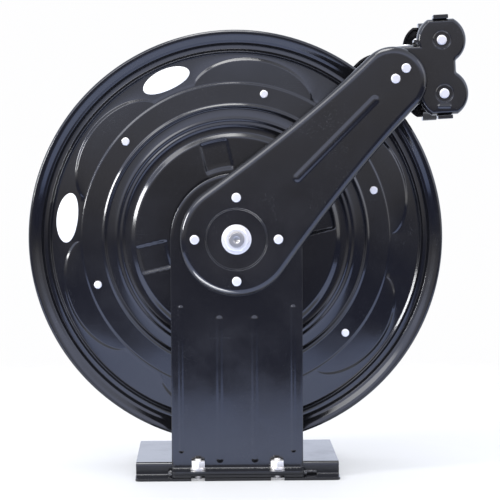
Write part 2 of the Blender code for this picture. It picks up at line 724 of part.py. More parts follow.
def add_rollers(materials):
    """Make the four rollers of the guide, their pins and the bars that tie the side plates."""
    inside = GUIDE_FACE - GUIDE_PLATE_SHEET - DISH_DEPTH
    bore = ROLLER_PIN_RADIUS + RUNNING_CLEARANCE
    seat = GUIDE_FACE - DISH_DEPTH + GAP
    for name, x, z in (("upper", UPPER_ROLLER_X, UPPER_ROLLER_Z), ("lower", LOWER_ROLLER_X, LOWER_ROLLER_Z)):
        matrix = side_matrix(1, 0, x, HUB_HEIGHT + z)
        profile = roller_profile(ROLLER_RADIUS, bore, inside - ROLLER_END_PLAY)
        turned(f"{name}_roller", profile, 12, materials["nylon"], matrix)
        pin = pin_profile(ROLLER_PIN_RADIUS, BOLT_HEAD_RADIUS, BOLT_HEAD_HEIGHT, -seat, seat)
        turned(f"{name}_roller_pin", pin, 8, materials["zinc"], matrix)
    half = (upright_roller_top() - upright_roller_bottom()) / 2
    for name, side in SIDES:
        matrix = Matrix.Translation(upright_roller_place(side))
        profile = roller_profile(UPRIGHT_ROLLER_RADIUS, bore, half - GAP)
        turned(f"{name}_upright_roller", profile, 10, materials["nylon"], matrix)
        grip = half + TAB_SHEET + 2 * GAP
        pin = pin_profile(ROLLER_PIN_RADIUS, BOLT_HEAD_RADIUS, BOLT_HEAD_HEIGHT / 2, -grip, grip)
        turned(f"{name}_upright_roller_pin", pin, 8, materials["zinc"], matrix)
    add_tie_bar("roller_tie_bar", 1, materials)
    add_tie_bar("lower_tie_bar", -1, materials)


def pin_profile(radius, head_radius, head_height, bottom, top):
    """Return the profile of a pin with a domed head at each end."""
    dome = head_height / 2
    return [
        (0, bottom - head_height),
        (head_radius - dome, bottom - head_height),
        (head_radius, bottom - head_height + dome),
        (head_radius, bottom),
        (radius, bottom),
        (radius, top),
        (head_radius, top),
        (head_radius, top + head_height - dome),
        (head_radius - dome, top + head_height),
        (0, top + head_height),
    ]


def add_tie_bar(name, up, materials):
    """Make a bar that ties the two side plates: its ends seat on the lobes' flat ends, its middle is cranked in."""
    _, reach, _ = guide_frame()
    seat, middle = reach + LOBE_FLAT + GAP, reach + TIE_BAR_OUT
    seat_end = GUIDE_FACE - TIE_BAR_SEAT
    crank_end = seat_end - TIE_BAR_CRANK
    profile = [(seat, GUIDE_FACE), (seat, seat_end), (middle, crank_end)]
    profile += [(level, -out) for level, out in profile[::-1]]
    thickness = TIE_BAR_THICKNESS
    line = profile + [(level + thickness, out) for level, out in profile[::-1]]
    bm = bmesh.new()
    rings = []
    for x in (-TIE_BAR_WIDTH / 2, TIE_BAR_WIDTH / 2):
        places = [(guide_point(x, up * level), out) for level, out in line]
        rings.append([bm.verts.new((*place, out - GUIDE_FACE)) for place, out in places])
    bridge(bm, *rings)
    for ring in rings:
        bm.faces.new(ring)
    make_object(name, bm, materials["black_paint"], side_matrix(1, GUIDE_FACE))


def add_frame_bolts(materials):
    """Make the studs in the lips, the bolts round each hub and the bolts at each arm's end."""
    zinc = materials["zinc"]
    number = 0
    for name, side in SIDES:
        for i in range(4):
            x, z = polar(HUB_BOLT_CIRCLE, QUARTER_TURN * i)
            matrix = side_matrix(side, 0, side * x, HUB_HEIGHT + z)
            bolt(f"{name}_hub_bolt_{i + 1}", BOLT_RADIUS, BOLT_HEAD_RADIUS, BOLT_HEAD_HEIGHT,
                 ARM_FACE + GAP, PEDESTAL_BACK - GAP, BOLT_HEAD_HEIGHT, zinc, matrix)
        for i, along in enumerate((ARM_BOLT_NEAR, ARM_BOLT_FAR)):
            x, z = arm_point(along, 0)
            matrix = side_matrix(side, 0, x, HUB_HEIGHT + z)
            bolt(f"{name}_arm_bolt_{i + 1}", BOLT_RADIUS, BOLT_HEAD_RADIUS, BOLT_HEAD_HEIGHT,
                 ARM_FACE + GAP, GUIDE_FACE - GUIDE_PLATE_SHEET - GAP, BOLT_HEAD_HEIGHT, zinc, matrix)
        for x in (-STUD_X, STUD_X):
            number += 1
            place = Vector((x, -side * (BASE_DEPTH / 2 + STUD_OUT), 0))
            turned(f"foot_stud_{number}", stud_profile(), 8, zinc, Matrix.Translation(place))


def stud_profile():
    """Return the profile of a stud: its head under the foot, its flanged nut and its end above."""
    head = FOOT_BACK + FOOT_NOTCH - GAP
    nut = FOOT_TOP + GAP
    nut_top = nut + NUT_HEIGHT
    body = NUT_FLANGE_RADIUS * 0.82
    tip = STUD_RADIUS / 3
    top = nut_top + STUD_PROUD
    return [
        (0, head - STUD_HEAD_HEIGHT),
        (STUD_HEAD_RADIUS, head - STUD_HEAD_HEIGHT),
        (STUD_HEAD_RADIUS, head),
        (STUD_RADIUS, head),
        (STUD_RADIUS, nut),
        (NUT_FLANGE_RADIUS, nut),
        (body, nut + NUT_HEIGHT / 4),
        (body, nut_top),
        (STUD_RADIUS, nut_top),
        (STUD_RADIUS, top - tip),
        (STUD_RADIUS - tip, top),
        (0, top),
    ]


def add_shaft(materials):
    """Make the fixed shaft, bored from its rear end, with its nuts and the spring's arbor."""
    shoulder = PEDESTAL_BACK - GAP
    end = DISH_FACE + GAP + HUB_NUT_HEIGHT + SHAFT_END_PROUD
    chamfer = SHAFT_END_PROUD / 4
    bore_end = SPIGOT_END - GAP - SWIVEL_LENGTH
    profile = [
        (0, end),
        (SHAFT_END_RADIUS - chamfer, end),
        (SHAFT_END_RADIUS, end - chamfer),
        (SHAFT_END_RADIUS, shoulder),
        (SHAFT_RADIUS, shoulder),
        (SHAFT_RADIUS, -shoulder),
        (SHAFT_END_RADIUS, -shoulder),
        (SHAFT_END_RADIUS, chamfer - end),
        (SHAFT_END_RADIUS - chamfer, -end),
        (SHAFT_BORE_RADIUS, -end),
        (SHAFT_BORE_RADIUS, -bore_end),
        (0, -bore_end),
    ]
    turned("main_shaft", profile, 12, materials["zinc"], side_matrix(1))
    for name, side in SIDES:
        seat = DISH_FACE + GAP
        bore = SHAFT_END_RADIUS + GAP
        chamfer = HUB_NUT_HEIGHT / 6
        levels = [
            (circle((0, 0), bore, 12), 0),
            (circle((0, 0), bore, 12), HUB_NUT_HEIGHT),
            (hexagon(HUB_NUT_RADIUS - chamfer, 12), HUB_NUT_HEIGHT),
            (hexagon(HUB_NUT_RADIUS, 12), HUB_NUT_HEIGHT - chamfer),
            (hexagon(HUB_NUT_RADIUS, 12), chamfer),
            (hexagon(HUB_NUT_RADIUS - chamfer, 12), 0),
        ]
        bm = bmesh.new()
        rings = [add_ring(bm, points, height) for points, height in levels]
        for i, ring in enumerate(rings):
            bridge(bm, rings[i - 1], ring)
        make_object(f"{name}_hub_nut", bm, materials["zinc"], side_matrix(side, seat))
    arbor_bore = SHAFT_RADIUS + GAP
    low, high = case_floor() + CASE_SHEET, CASE_FACE - CASE_SHEET
    margin = SPRING_SIDE_CLEARANCE
    profile = [
        (arbor_bore, low + margin),
        (ARBOR_RADIUS, low + margin),
        (ARBOR_RADIUS, high - margin),
        (arbor_bore, high - margin),
    ]
    turned("spring_arbor", profile, 16, materials["zinc"], side_matrix(1))


def hexagon(radius, steps):
    """Return a hexagon with its corners at radius, drawn with steps points."""
    points = []
    for i in range(steps):
        angle = math.tau * i / steps
        across = radius * math.cos(math.pi / 6)
        points.append(polar(across / math.cos(angle % (math.pi / 3) - math.pi / 6), angle))
    return points


def swivel_middle():
    """Return how far behind the spool's mid plane the swivel's middle lies."""
    return SPIGOT_END - GAP - SWIVEL_LENGTH / 2


def case_floor():
    """Return the height of the spring case's closed side, in front of the spool's mid plane."""
    return CASE_FACE - CASE_DEPTH


def lobe_reach(angle):
    """Return how far the D-shaped lobes reach at an angle, between none and LOBE_OUTER."""
    pitch = math.tau / DISC_BOLTS
    away = (angle - LOBE_TURN + pitch / 2) % pitch - pitch / 2
    share = min(1.0, abs(away) / LOBE_HALF_ANGLE)
    return LOBE_INNER + (LOBE_OUTER - LOBE_INNER) * math.sqrt(1 - share * share)


def cone_height(radius):
    """Return the height of the sloping band between the lobes."""
    return -CONE_DROP * max(0.0, radius - LOBE_INNER) / (CONE_OUTER - LOBE_INNER)


def disc_row(angle):
    """Return the disc's section at an angle as (radius, height) points, from its hole to its rim."""
    lobe = lobe_reach(angle)
    wall = lobe + LOBE_WALL
    rim = DISC_RADIUS - RIM_INNER
    return [
        (HUB_HOLE_RADIUS, PLATEAU_HEIGHT),
        (PLATEAU_RADIUS, PLATEAU_HEIGHT),
        (PLATEAU_RADIUS + PLATEAU_HEIGHT, 0),
        (lobe, 0),
        (wall, cone_height(wall)),
        (CONE_OUTER, -CONE_DROP),
        (RIM_INNER, -CONE_DROP - RIM_DIP),
        (RIM_INNER + rim / 3, RIM_RISE - CONE_DROP),
        (DISC_RADIUS - rim / 4, RIM_RISE - CONE_DROP),
        (DISC_RADIUS, RIM_RISE - CONE_DROP - RIM_DIP),
    ]


def add_disc(name, side, materials):
    """Make a spool disc: a pressed sheet with rings, lobes and a rolled rim."""
    bm = bmesh.new()
    rows = []
    for i in range(DISC_SEGMENTS):
        angle = LOBE_TURN + math.tau * i / DISC_SEGMENTS
        row = []
        for radius, height in disc_row(angle):
            x, y = polar(radius, angle)
            row.append(bm.verts.new((side * x, y, height)))
        rows.append(row)
    for i, row in enumerate(rows):
        before = rows[i - 1]
        for k in range(len(row) - 1):
            bm.faces.new((before[k], before[k + 1], row[k + 1], row[k]))
    disc = make_sheet(name, bm, DISC_SHEET, materials["black_paint"], side_matrix(side, DISC_FACE))
    places = mirrored(disc_bolt_places(), side)
    holes = posts_mesh(places, BOLT_RADIUS + BOLT_CLEARANCE, -4 * DISC_SHEET, 4 * DISC_SHEET, 6)
    combine(disc, cutter(f"{name}_holes", holes), "DIFFERENCE")
    return disc


def disc_bolt_places():
    """Return the centres of the bolts through the discs."""
    return [polar(DISC_BOLT_CIRCLE, DISC_BOLT_TURN + math.tau * i / DISC_BOLTS) for i in range(DISC_BOLTS)]


def add_drum(materials):
    """Make the drum core: a rolled sheet with flanges turned in against the discs."""
    half = DISC_BACK - GAP
    inner = DRUM_RADIUS - DRUM_SHEET
    flange = DRUM_RADIUS - DRUM_FLANGE
    profile = [
        (DRUM_RADIUS, -half),
        (DRUM_RADIUS, half),
        (flange, half),
        (flange, half - DRUM_SHEET),
        (inner, half - DRUM_SHEET),
        (inner, DRUM_SHEET - half),
        (flange, DRUM_SHEET - half),
        (flange, -half),
    ]
    drum = turned("drum_core", profile, DRUM_SEGMENTS, materials["black_paint"], side_matrix(1))
    places = disc_bolt_places()
    holes = posts_mesh(places, BOLT_RADIUS + BOLT_CLEARANCE, -2 * half, 2 * half, 6)
    combine(drum, cutter("drum_core_holes", holes), "DIFFERENCE")
    drill = posts_mesh([(0, 0)], OUTLET_RADIUS + BOLT_CLEARANCE, DRUM_RADIUS / 2, DRUM_RADIUS * 1.2, 10)
    bmesh.ops.transform(drill, matrix=outlet_matrix(), verts=drill.verts)
    combine(drum, cutter("drum_core_outlet_hole", drill), "DIFFERENCE")


def outlet_matrix():
    """Lay local Z along the outlet's radius, in the drawing frame of the spool's front."""
    lay = Matrix.Rotation(OUTLET_ANGLE, 4, "Z") @ Matrix.Rotation(QUARTER_TURN, 4, "Y")
    return Matrix.Translation((0, 0, -swivel_middle())) @ lay


def add_spool_bolts(materials):
    """Make the long bolts that clamp the discs on the drum."""
    for i, (x, z) in enumerate(disc_bolt_places()):
        matrix = side_matrix(1, 0, x, HUB_HEIGHT + z)
        bolt(f"spool_bolt_{i + 1}", BOLT_RADIUS, BOLT_HEAD_RADIUS, BOLT_HEAD_HEIGHT,
             DISC_FACE + GAP, -DISC_FACE - GAP, BOLT_HEAD_HEIGHT, materials["zinc"], matrix)


def add_hubs(materials):
    """Make the flanged hubs on the discs and the bushes that turn on the shaft."""
    for name, side in SIDES:
        seat = PLATEAU_FACE + GAP
        bore = BUSH_RADIUS + GAP
        spigot = HUB_HOLE_RADIUS - GAP
        profile = [
            (bore, SPIGOT_END),
            (spigot, SPIGOT_END),
            (spigot, seat),
            (HUB_FLANGE_RADIUS, seat),
            (HUB_FLANGE_RADIUS, HUB_FLANGE_FACE),
            (HUB_COLLAR_RADIUS, HUB_FLANGE_FACE),
            (HUB_COLLAR_RADIUS, HUB_COLLAR_END),
            (bore, HUB_COLLAR_END),
        ]
        turned(f"{name}_hub", profile, 16, materials["black_paint"], side_matrix(side))
        bush_end = PEDESTAL_BACK - 2 * GAP
        profile = [
            (BUSH_BORE_RADIUS, SPIGOT_END),
            (BUSH_RADIUS, SPIGOT_END),
            (BUSH_RADIUS, HUB_COLLAR_END + GAP),
            (BUSH_RADIUS + BUSH_WALL, HUB_COLLAR_END + GAP),
            (BUSH_RADIUS + BUSH_WALL, bush_end),
            (BUSH_BORE_RADIUS, bush_end),
        ]
        turned(f"{name}_bush", profile, 16, materials["bronze"], side_matrix(side))


def add_spring(materials):
    """Make the spring case, its cover and the flat spiral spring between case and arbor."""
    floor = case_floor()
    hole = ARBOR_RADIUS + SPRING_SIDE_CLEARANCE
    inner = CASE_RADIUS - CASE_SHEET
    cover_back = CASE_FACE - CASE_SHEET
    profile = [
        (hole, floor),
        (CASE_RADIUS, floor),
        (CASE_RADIUS, CASE_FACE),
        (inner, CASE_FACE),
        (inner, floor + CASE_SHEET),
        (hole, floor + CASE_SHEET),
    ]
    turned("spring_case", profile, 24, materials["spring_steel"], side_matrix(1))
    profile = [
        (hole, cover_back),
        (inner - GAP, cover_back),
        (inner - GAP, CASE_FACE),
        (hole, CASE_FACE),
    ]
    turned("spring_cover", profile, 24, materials["spring_steel"], side_matrix(1))
    bm = bmesh.new()
    low = floor + CASE_SHEET + SPRING_SIDE_CLEARANCE
    high = cover_back - SPRING_SIDE_CLEARANCE
    start = ARBOR_RADIUS + SPRING_THICKNESS / 2 + RUNNING_CLEARANCE
    end = inner - SPRING_THICKNESS / 2 - 2 * SPRING_SIDE_CLEARANCE
    count = SPRING_TURNS * SPRING_POINTS_PER_TURN
    sections = []
    for i in range(count + 1):
        angle = math.tau * i / SPRING_POINTS_PER_TURN
        radius = start + (end - start) * i / count
        corners = []
        for offset, height in ((-1, low), (1, low), (1, high), (-1, high)):
            x, y = polar(radius + offset * SPRING_THICKNESS / 2, angle)
            corners.append(bm.verts.new((x, y, height)))
        sections.append(corners)
    for before, after in zip(sections, sections[1:]):
        bridge(bm, before, after)
    bm.faces.new(sections[0])
    bm.faces.new(sections[-1])
    make_object("power_spring", bm, materials["spring_steel"], side_matrix(1))


def add_water_path(materials):
    """Make the swivel housing on the shaft, the outlet pipe and the inlet elbow behind the reel."""
    start, end = SPIGOT_END - GAP - SWIVEL_LENGTH, SPIGOT_END - GAP
    profile = [
        (BUSH_BORE_RADIUS, start),
        (SWIVEL_RADIUS, start),
        (SWIVEL_RADIUS, end),
        (BUSH_BORE_RADIUS, end),
    ]
    turned("swivel_housing", profile, 16, materials["brass"], side_matrix(-1))
    collar = OUTLET_RADIUS * 1.4
    top = DRUM_RADIUS + OUTLET_PROUD
    seat = SWIVEL_RADIUS + GAP
    profile = [
        (OUTLET_BORE, seat),
        (OUTLET_RADIUS, seat),
        (OUTLET_RADIUS, DRUM_RADIUS + 2 * GAP),
        (collar, DRUM_RADIUS + 2 * GAP),
        (collar, DRUM_RADIUS + OUTLET_PROUD / 2),
        (OUTLET_RADIUS, DRUM_RADIUS + OUTLET_PROUD / 2),
        (OUTLET_RADIUS, top),
        (OUTLET_BORE, top),
    ]
    turned("outlet_pipe", profile, 10, materials["brass"], side_matrix(1) @ outlet_matrix())
    add_inlet_elbow(materials)


def add_inlet_elbow(materials):
    """Make the elbow on the shaft's rear end: a bored tube turned down through a right angle."""
    shaft_end = DISH_FACE + GAP + HUB_NUT_HEIGHT + SHAFT_END_PROUD
    start = DISH_FACE + 2 * GAP + HUB_NUT_HEIGHT
    bend_start = shaft_end + GAP
    bm = bmesh.new()
    steps = 10
    socket = (SHAFT_END_RADIUS + GAP) / math.cos(math.pi / steps)
    outer = [add_ring(bm, circle((0, 0), INLET_RADIUS, steps), start)]
    inner = [
        add_ring(bm, circle((0, 0), socket, steps), start),
        add_ring(bm, circle((0, 0), socket, steps), bend_start),
    ]
    for i in range(4):
        angle = QUARTER_TURN * i / 3
        turn = Matrix.Translation((0, -INLET_BEND, bend_start)) @ Matrix.Rotation(angle, 4, "X")
        turn = turn @ Matrix.Translation((0, INLET_BEND, 0))
        for rings, radius in ((outer, INLET_RADIUS), (inner, SHAFT_BORE_RADIUS)):
            ring = add_ring(bm, circle((0, 0), radius, steps))
            bmesh.ops.transform(bm, matrix=turn, verts=ring)
            rings.append(ring)
    drop = turn @ Matrix.Translation((0, 0, INLET_DROP))
    for rings, radius in ((outer, INLET_RADIUS), (inner, SHAFT_BORE_RADIUS)):
        ring = add_ring(bm, circle((0, 0), radius, steps))
        bmesh.ops.transform(bm, matrix=drop, verts=ring)
        rings.append(ring)
    for rings in (outer, inner):
        for lower, upper in zip(rings, rings[1:]):
            bridge(bm, lower, upper)
    bridge(bm, outer[0], inner[0])
    bridge(bm, outer[-1], inner[-1])
    make_object("inlet_elbow", bm, materials["brass"], side_matrix(-1))


def ratchet_outline():
    """Return the ratchet wheel's outline, with a tooth gap where the pawl's nose swings in."""
    pitch = math.tau / RATCHET_TEETH
    points = []
    for i in range(RATCHET_TEETH):
        base = PAWL_NOSE_ANGLE - 0.455 * pitch + pitch * i
        points.append(polar(RATCHET_TIP, base))
        points.append(polar(RATCHET_TIP, base + 0.22 * pitch))
        points.append(polar(RATCHET_ROOT, base + 0.26 * pitch))
        points.append(polar(RATCHET_ROOT, base + 0.6 * pitch))
    return points


def add_ratchet(materials):
    """Make the ratchet wheel on the rear hub and the pawl on its pin, swung clear of the teeth."""
    outline = mirrored(ratchet_outline(), -1)
    bm = bmesh.new()
    rings = []
    hole = circle((0, 0), (HUB_COLLAR_RADIUS + GAP) / math.cos(math.pi / 16), 16)
    for height in (-RATCHET_THICKNESS, 0):
        rings.append((add_ring(bm, outline, height), add_ring(bm, hole, height)))
    for i in (0, 1):
        bridge(bm, rings[0][i], rings[1][i])
    for pair in rings:
        fill(bm, pair)
    make_object("ratchet_wheel", bm, materials["zinc"], side_matrix(-1, RATCHET_FACE))
    pivot = polar(PAWL_PIVOT_RADIUS, PAWL_PIVOT_ANGLE)
    nose = polar(RATCHET_ROOT + PAWL_NOSE_CLEARANCE, PAWL_NOSE_ANGLE)
    length = math.hypot(nose[0] - pivot[0], nose[1] - pivot[1])
    heading = math.atan2(nose[1] - pivot[1], nose[0] - pivot[0]) + PAWL_SWING
    points = pawl_points(length)
    turn = [polar(math.hypot(x, y), heading + math.atan2(y, x)) for x, y in points]
    outline = mirrored(turn, -1)
    bm = bmesh.new()
    rings = []
    hole = mirrored(circle((0, 0), PAWL_PIN_RADIUS + RUNNING_CLEARANCE, 12), -1)
    for height in (-RATCHET_THICKNESS, 0):
        rings.append((add_ring(bm, outline, height), add_ring(bm, hole, height)))
    for i in (0, 1):
        bridge(bm, rings[0][i], rings[1][i])
    for pair in rings:
        fill(bm, pair)
    place = {"x": pivot[0], "z": HUB_HEIGHT + pivot[1]}
    make_object("pawl", bm, materials["zinc"], side_matrix(-1, RATCHET_FACE, **place))
    head = RATCHET_FACE - RATCHET_THICKNESS - GAP
    spacer = RATCHET_FACE + GAP
    profile = [
        (0, head - 2.5 * GAP),
        (PAWL_SPACER_RADIUS, head - 2.5 * GAP),
        (PAWL_SPACER_RADIUS, head),
        (PAWL_PIN_RADIUS, head),
        (PAWL_PIN_RADIUS, spacer),
        (PAWL_SPACER_RADIUS, spacer),
        (PAWL_SPACER_RADIUS, PEDESTAL_BACK - GAP),
        (0, PEDESTAL_BACK - GAP),
    ]
    turned("pawl_pin", profile, 10, materials["zinc"], side_matrix(-1, **place))
    add_pawl_spring(materials, place)


def pawl_points(length):
    """Return the pawl's outline: pivot at the origin, hooked nose at +X, the wheel on the -Y side."""
    half = PAWL_NOSE_WIDTH / 2
    tail = PAWL_BOSS_RADIUS * 1.9
    hook = 1.2 * (RATCHET_TIP - RATCHET_ROOT)
    points = [(length - half, 0), (length + half, 0), (length + half, 1.5 * hook)]
    points += arc((0, 0), PAWL_BOSS_RADIUS, math.radians(60), math.radians(140), 4)
    points += arc((-tail, 0), half * 1.4, QUARTER_TURN, 3 * QUARTER_TURN, 4)
    points += arc((0, 0), PAWL_BOSS_RADIUS, math.radians(220), math.radians(290), 4)
    points += [(length - 2 * half, hook)]
    return points


def add_pawl_spring(materials, place):
    """Make the coil spring round the pawl's spacer as one wire, and print its least gap."""
    low = RATCHET_FACE + 3 * PAWL_SPRING_WIRE
    high = PEDESTAL_BACK - 3 * PAWL_SPRING_WIRE
    steps = 7
    radius = (PAWL_SPACER_RADIUS + PAWL_SPRING_WIRE + RUNNING_CLEARANCE) / math.cos(math.pi / steps)
    count = PAWL_SPRING_TURNS * steps
    sections = []
    bm = bmesh.new()
    for i in range(count + 1):
        angle = math.tau * i / steps
        height = low + (high - low) * i / count
        corners = []
        for k in range(4):
            out, up = polar(PAWL_SPRING_WIRE, QUARTER_TURN * k)
            x, y = polar(radius + out, angle)
            corners.append(bm.verts.new((x, y, height + up)))
        sections.append(corners)
    for before, after in zip(sections, sections[1:]):
        bridge(bm, before, after)
    bm.faces.new(sections[0])
    bm.faces.new(sections[-1])
    make_object("pawl_spring", bm, materials["spring_steel"], side_matrix(-1, **place))
    pitch = (high - low) / PAWL_SPRING_TURNS
    print(f"pawl_spring: least gap between turns {1000 * (pitch - 2 * PAWL_SPRING_WIRE):.2f} mm")


def main():
    """Build the whole reel."""
    clear_scene()
    materials = make_materials()
    add_base_plate(materials)
    for name, side in SIDES:
        add_pedestal(f"{name}_pedestal", side, materials)
        add_arm(f"{name}_arm", side, materials)
        add_guide_plate(f"{name}_guide_plate", side, materials)
        add_disc(f"{name}_disc", side, materials)
    add_frame_bolts(materials)
    add_rollers(materials)
    add_shaft(materials)
    add_drum(materials)
    add_spool_bolts(materials)
    add_hubs(materials)
    add_spring(materials)
    add_water_path(materials)
    add_ratchet(materials)


main()
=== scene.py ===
"""Dresses the hose reel's fixed frame with finished pieces, materials, light and a camera.

Units are metres, +Z is up, the reel's front faces -Y and its spool turns about a line along Y.
Pressed and turned pieces are drawn in their own XY plane with +Z pointing out of the reel,
and stand() puts them on the front or on the rear side.
"""

import json
import math

import bmesh
import bpy
from bpy.props import FloatProperty, FloatVectorProperty, IntProperty, PointerProperty
from mathutils import Matrix, Vector, noise


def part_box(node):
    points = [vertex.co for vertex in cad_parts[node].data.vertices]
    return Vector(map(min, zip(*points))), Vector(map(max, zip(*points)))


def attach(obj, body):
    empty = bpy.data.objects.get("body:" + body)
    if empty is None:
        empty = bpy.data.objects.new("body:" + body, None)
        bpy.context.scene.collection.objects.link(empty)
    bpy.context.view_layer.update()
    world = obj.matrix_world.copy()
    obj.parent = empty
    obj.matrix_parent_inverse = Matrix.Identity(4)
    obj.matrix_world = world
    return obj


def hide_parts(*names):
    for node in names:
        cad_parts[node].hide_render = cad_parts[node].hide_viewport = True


bl_info = {
    "name": "Hose Reel Dressing",
    "version": (1, 0, 0),
    "blender": (4, 5, 0),
    "location": "3D View > Sidebar > Hose Reel",
    "description": "Builds the visible pieces of a spring-rewind hose reel round its frame",
    "category": "Object",
}

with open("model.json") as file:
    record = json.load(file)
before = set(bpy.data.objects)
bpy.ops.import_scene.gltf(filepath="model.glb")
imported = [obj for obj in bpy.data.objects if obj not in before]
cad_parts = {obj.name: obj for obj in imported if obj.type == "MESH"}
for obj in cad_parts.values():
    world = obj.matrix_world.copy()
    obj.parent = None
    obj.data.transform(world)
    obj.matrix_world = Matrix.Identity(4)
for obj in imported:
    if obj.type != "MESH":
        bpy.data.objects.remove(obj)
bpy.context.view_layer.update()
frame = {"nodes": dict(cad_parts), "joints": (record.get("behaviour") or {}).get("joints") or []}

JOINTS = {joint["name"]: Vector(joint["pos_m"]) for joint in frame["joints"]}
HUB = JOINTS["spool_turn"]
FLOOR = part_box("base_plate")[0].z
MM = 0.001
QUARTER = math.pi / 2
SIDES = (("front", 1), ("rear", -1))

# Distances out from the spool's mid plane
LIP_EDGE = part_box("base_plate")[1].y
PEDESTAL_BACK = LIP_EDGE - 29.7 * MM
PEDESTAL_FACE = PEDESTAL_BACK + 3 * MM
GUIDE_FACE = PEDESTAL_FACE
ARM_FACE = PEDESTAL_FACE + 8.3 * MM
DISC_FACE = -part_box("front_disc")[0].y - 5 * MM
# Sizes that several pieces share
GAP = 0.3 * MM
ARM_SHEET = 2.5 * MM
SHAFT_HOLE = 9.4 * MM
FOOT_CORNER = 6 * MM
ARM_ANGLE = math.radians(45)
LABEL_SIZE = (57.5 * MM, 24.5 * MM)
SLOT_DEPTH = 24 * MM
ON_AXIS = 1e-7  # smallest radius off a turned part's axis
CORNER_STEPS = 3  # faces round a rounded corner


# Sizes and colours

class ReelStandSizes(bpy.types.PropertyGroup):
    """Sizes of the base plate and the pedestals."""

    base_width: FloatProperty(name="Base width", description="Width of the base plate",
                              default=0.232, unit="LENGTH")
    base_sheet: FloatProperty(name="Base sheet", description="Thickness of the base plate",
                              default=0.003, unit="LENGTH")
    pedestal_width: FloatProperty(name="Pedestal width", description="Width of the upright plates",
                                  default=0.150, unit="LENGTH")
    rib_height: FloatProperty(name="Rib height", description="How far pressed ribs stand proud",
                              default=0.0012, unit="LENGTH")
    foot_thickness: FloatProperty(name="Foot thickness", description="Thickness of a pedestal's folded foot",
                                  default=0.0072, unit="LENGTH")
    slot_width: FloatProperty(name="Slot width", description="Width of the open slots over the stud heads",
                              default=0.0152, unit="LENGTH")


class ReelSpoolSizes(bpy.types.PropertyGroup):
    """Sizes of the pressed discs and the drum."""

    disc_radius: FloatProperty(name="Disc radius", description="Radius over the rolled rim",
                               default=0.2396, unit="LENGTH")
    disc_sheet: FloatProperty(name="Disc sheet", description="Thickness of the disc", default=0.0015, unit="LENGTH")
    drum_radius: FloatProperty(name="Drum radius", description="Radius that the hose winds on",
                               default=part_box("drum_core")[1].x, unit="LENGTH")
    lobes: IntProperty(name="Lobes", description="Number of D-shaped lobes in the disc", default=6, min=3)
    bolt_circle: FloatProperty(name="Bolt circle", description="Radius of the circle of disc bolts",
                               default=0.1685, unit="LENGTH")


class ReelArmSizes(bpy.types.PropertyGroup):
    """Sizes of the guide arms and the roller guide's side plates."""

    arm_length: FloatProperty(name="Arm length", description="From the hub to the middle of the arm's round end",
                              default=0.252, unit="LENGTH")
    hub_radius: FloatProperty(name="Hub radius", description="Radius of the arm round the shaft",
                              default=0.065, unit="LENGTH")
    tip_radius: FloatProperty(name="Tip radius", description="Radius of the arm's round end",
                              default=0.039, unit="LENGTH")
    edge_roll: FloatProperty(name="Edge roll", description="Width of the arm's rolled edge",
                             default=0.0085, unit="LENGTH")
    lobe_radius: FloatProperty(name="Plate lobe radius", description="Radius of the side plates' round ends",
                               default=0.0281, unit="LENGTH")


class ReelFinishes(bpy.types.PropertyGroup):
    """Colours of the finishes."""

    paint: FloatVectorProperty(name="Powder coat", description="Colour of the gloss powder coat", subtype="COLOR",
                               size=3, default=(0.0058, 0.0059, 0.0072), min=0, max=1)
    zinc: FloatVectorProperty(name="Zinc plate", description="Colour of the zinc plated fasteners", subtype="COLOR",
                              size=3, default=(0.93, 0.90, 0.85), min=0, max=1)
    brass: FloatVectorProperty(name="Brass", description="Colour of the water fittings", subtype="COLOR",
                               size=3, default=(0.72, 0.53, 0.24), min=0, max=1)
    bronze: FloatVectorProperty(name="Bronze", description="Colour of the sintered bushes", subtype="COLOR",
                                size=3, default=(0.46, 0.31, 0.17), min=0, max=1)
    spring_steel: FloatVectorProperty(name="Spring steel", description="Colour of the blued springs",
                                      subtype="COLOR", size=3, default=(0.20, 0.22, 0.27), min=0, max=1)
    nylon: FloatVectorProperty(name="Nylon", description="Colour of the moulded rollers", subtype="COLOR",
                               size=3, default=(0.018, 0.018, 0.020), min=0, max=1)
    label: FloatVectorProperty(name="Label", description="Colour of the bare labels", subtype="COLOR",
                               size=3, default=(0.80, 0.80, 0.79), min=0, max=1)


class ReelStage(bpy.types.PropertyGroup):
    """The camera, the lamps and the floor."""

    camera_distance: FloatProperty(name="Camera distance", description="From the pedestal's face to the camera",
                                   default=2.342, unit="LENGTH")
    camera_rise: FloatProperty(name="Camera rise", description="Height of the camera over the spool's axis",
                               default=0.110, unit="LENGTH")
    camera_side: FloatProperty(name="Camera side", description="How far the camera stands to the right (+X)",
                               default=-0.032, unit="LENGTH")
    dip: FloatProperty(name="Dip", description="How far the camera looks down", default=math.radians(2.99),
                       subtype="ANGLE")
    turn: FloatProperty(name="Turn", description="How far the camera looks to the right",
                        default=math.radians(1.16), subtype="ANGLE")
    roll: FloatProperty(name="Roll", description="Tilt of the picture", default=math.radians(-0.29), subtype="ANGLE")
    lens: FloatProperty(name="Lens", description="Focal length in millimetres", default=148.7)
    floor: FloatVectorProperty(name="Floor", description="Colour of the floor", subtype="COLOR", size=3,
                               default=(0.935, 0.948, 0.975), min=0, max=1)


# Outlines

def polar(radius, angle, centre=(0.0, 0.0)):
    """Return the point at a radius and angle from a centre."""
    return centre[0] + radius * math.cos(angle), centre[1] + radius * math.sin(angle)


def arc(centre, radius, start, end, steps):
    """Return steps + 1 points along an arc."""
    return [polar(radius, start + (end - start) * i / steps, centre) for i in range(steps + 1)]


def circle(radius, steps, centre=(0.0, 0.0)):
    """Return the points of a circle."""
    return [polar(radius, math.tau * i / steps, centre) for i in range(steps)]


def smooth(t):
    """Ease a share between 0 and 1 at both ends."""
    return t * t * (3 - 2 * t)


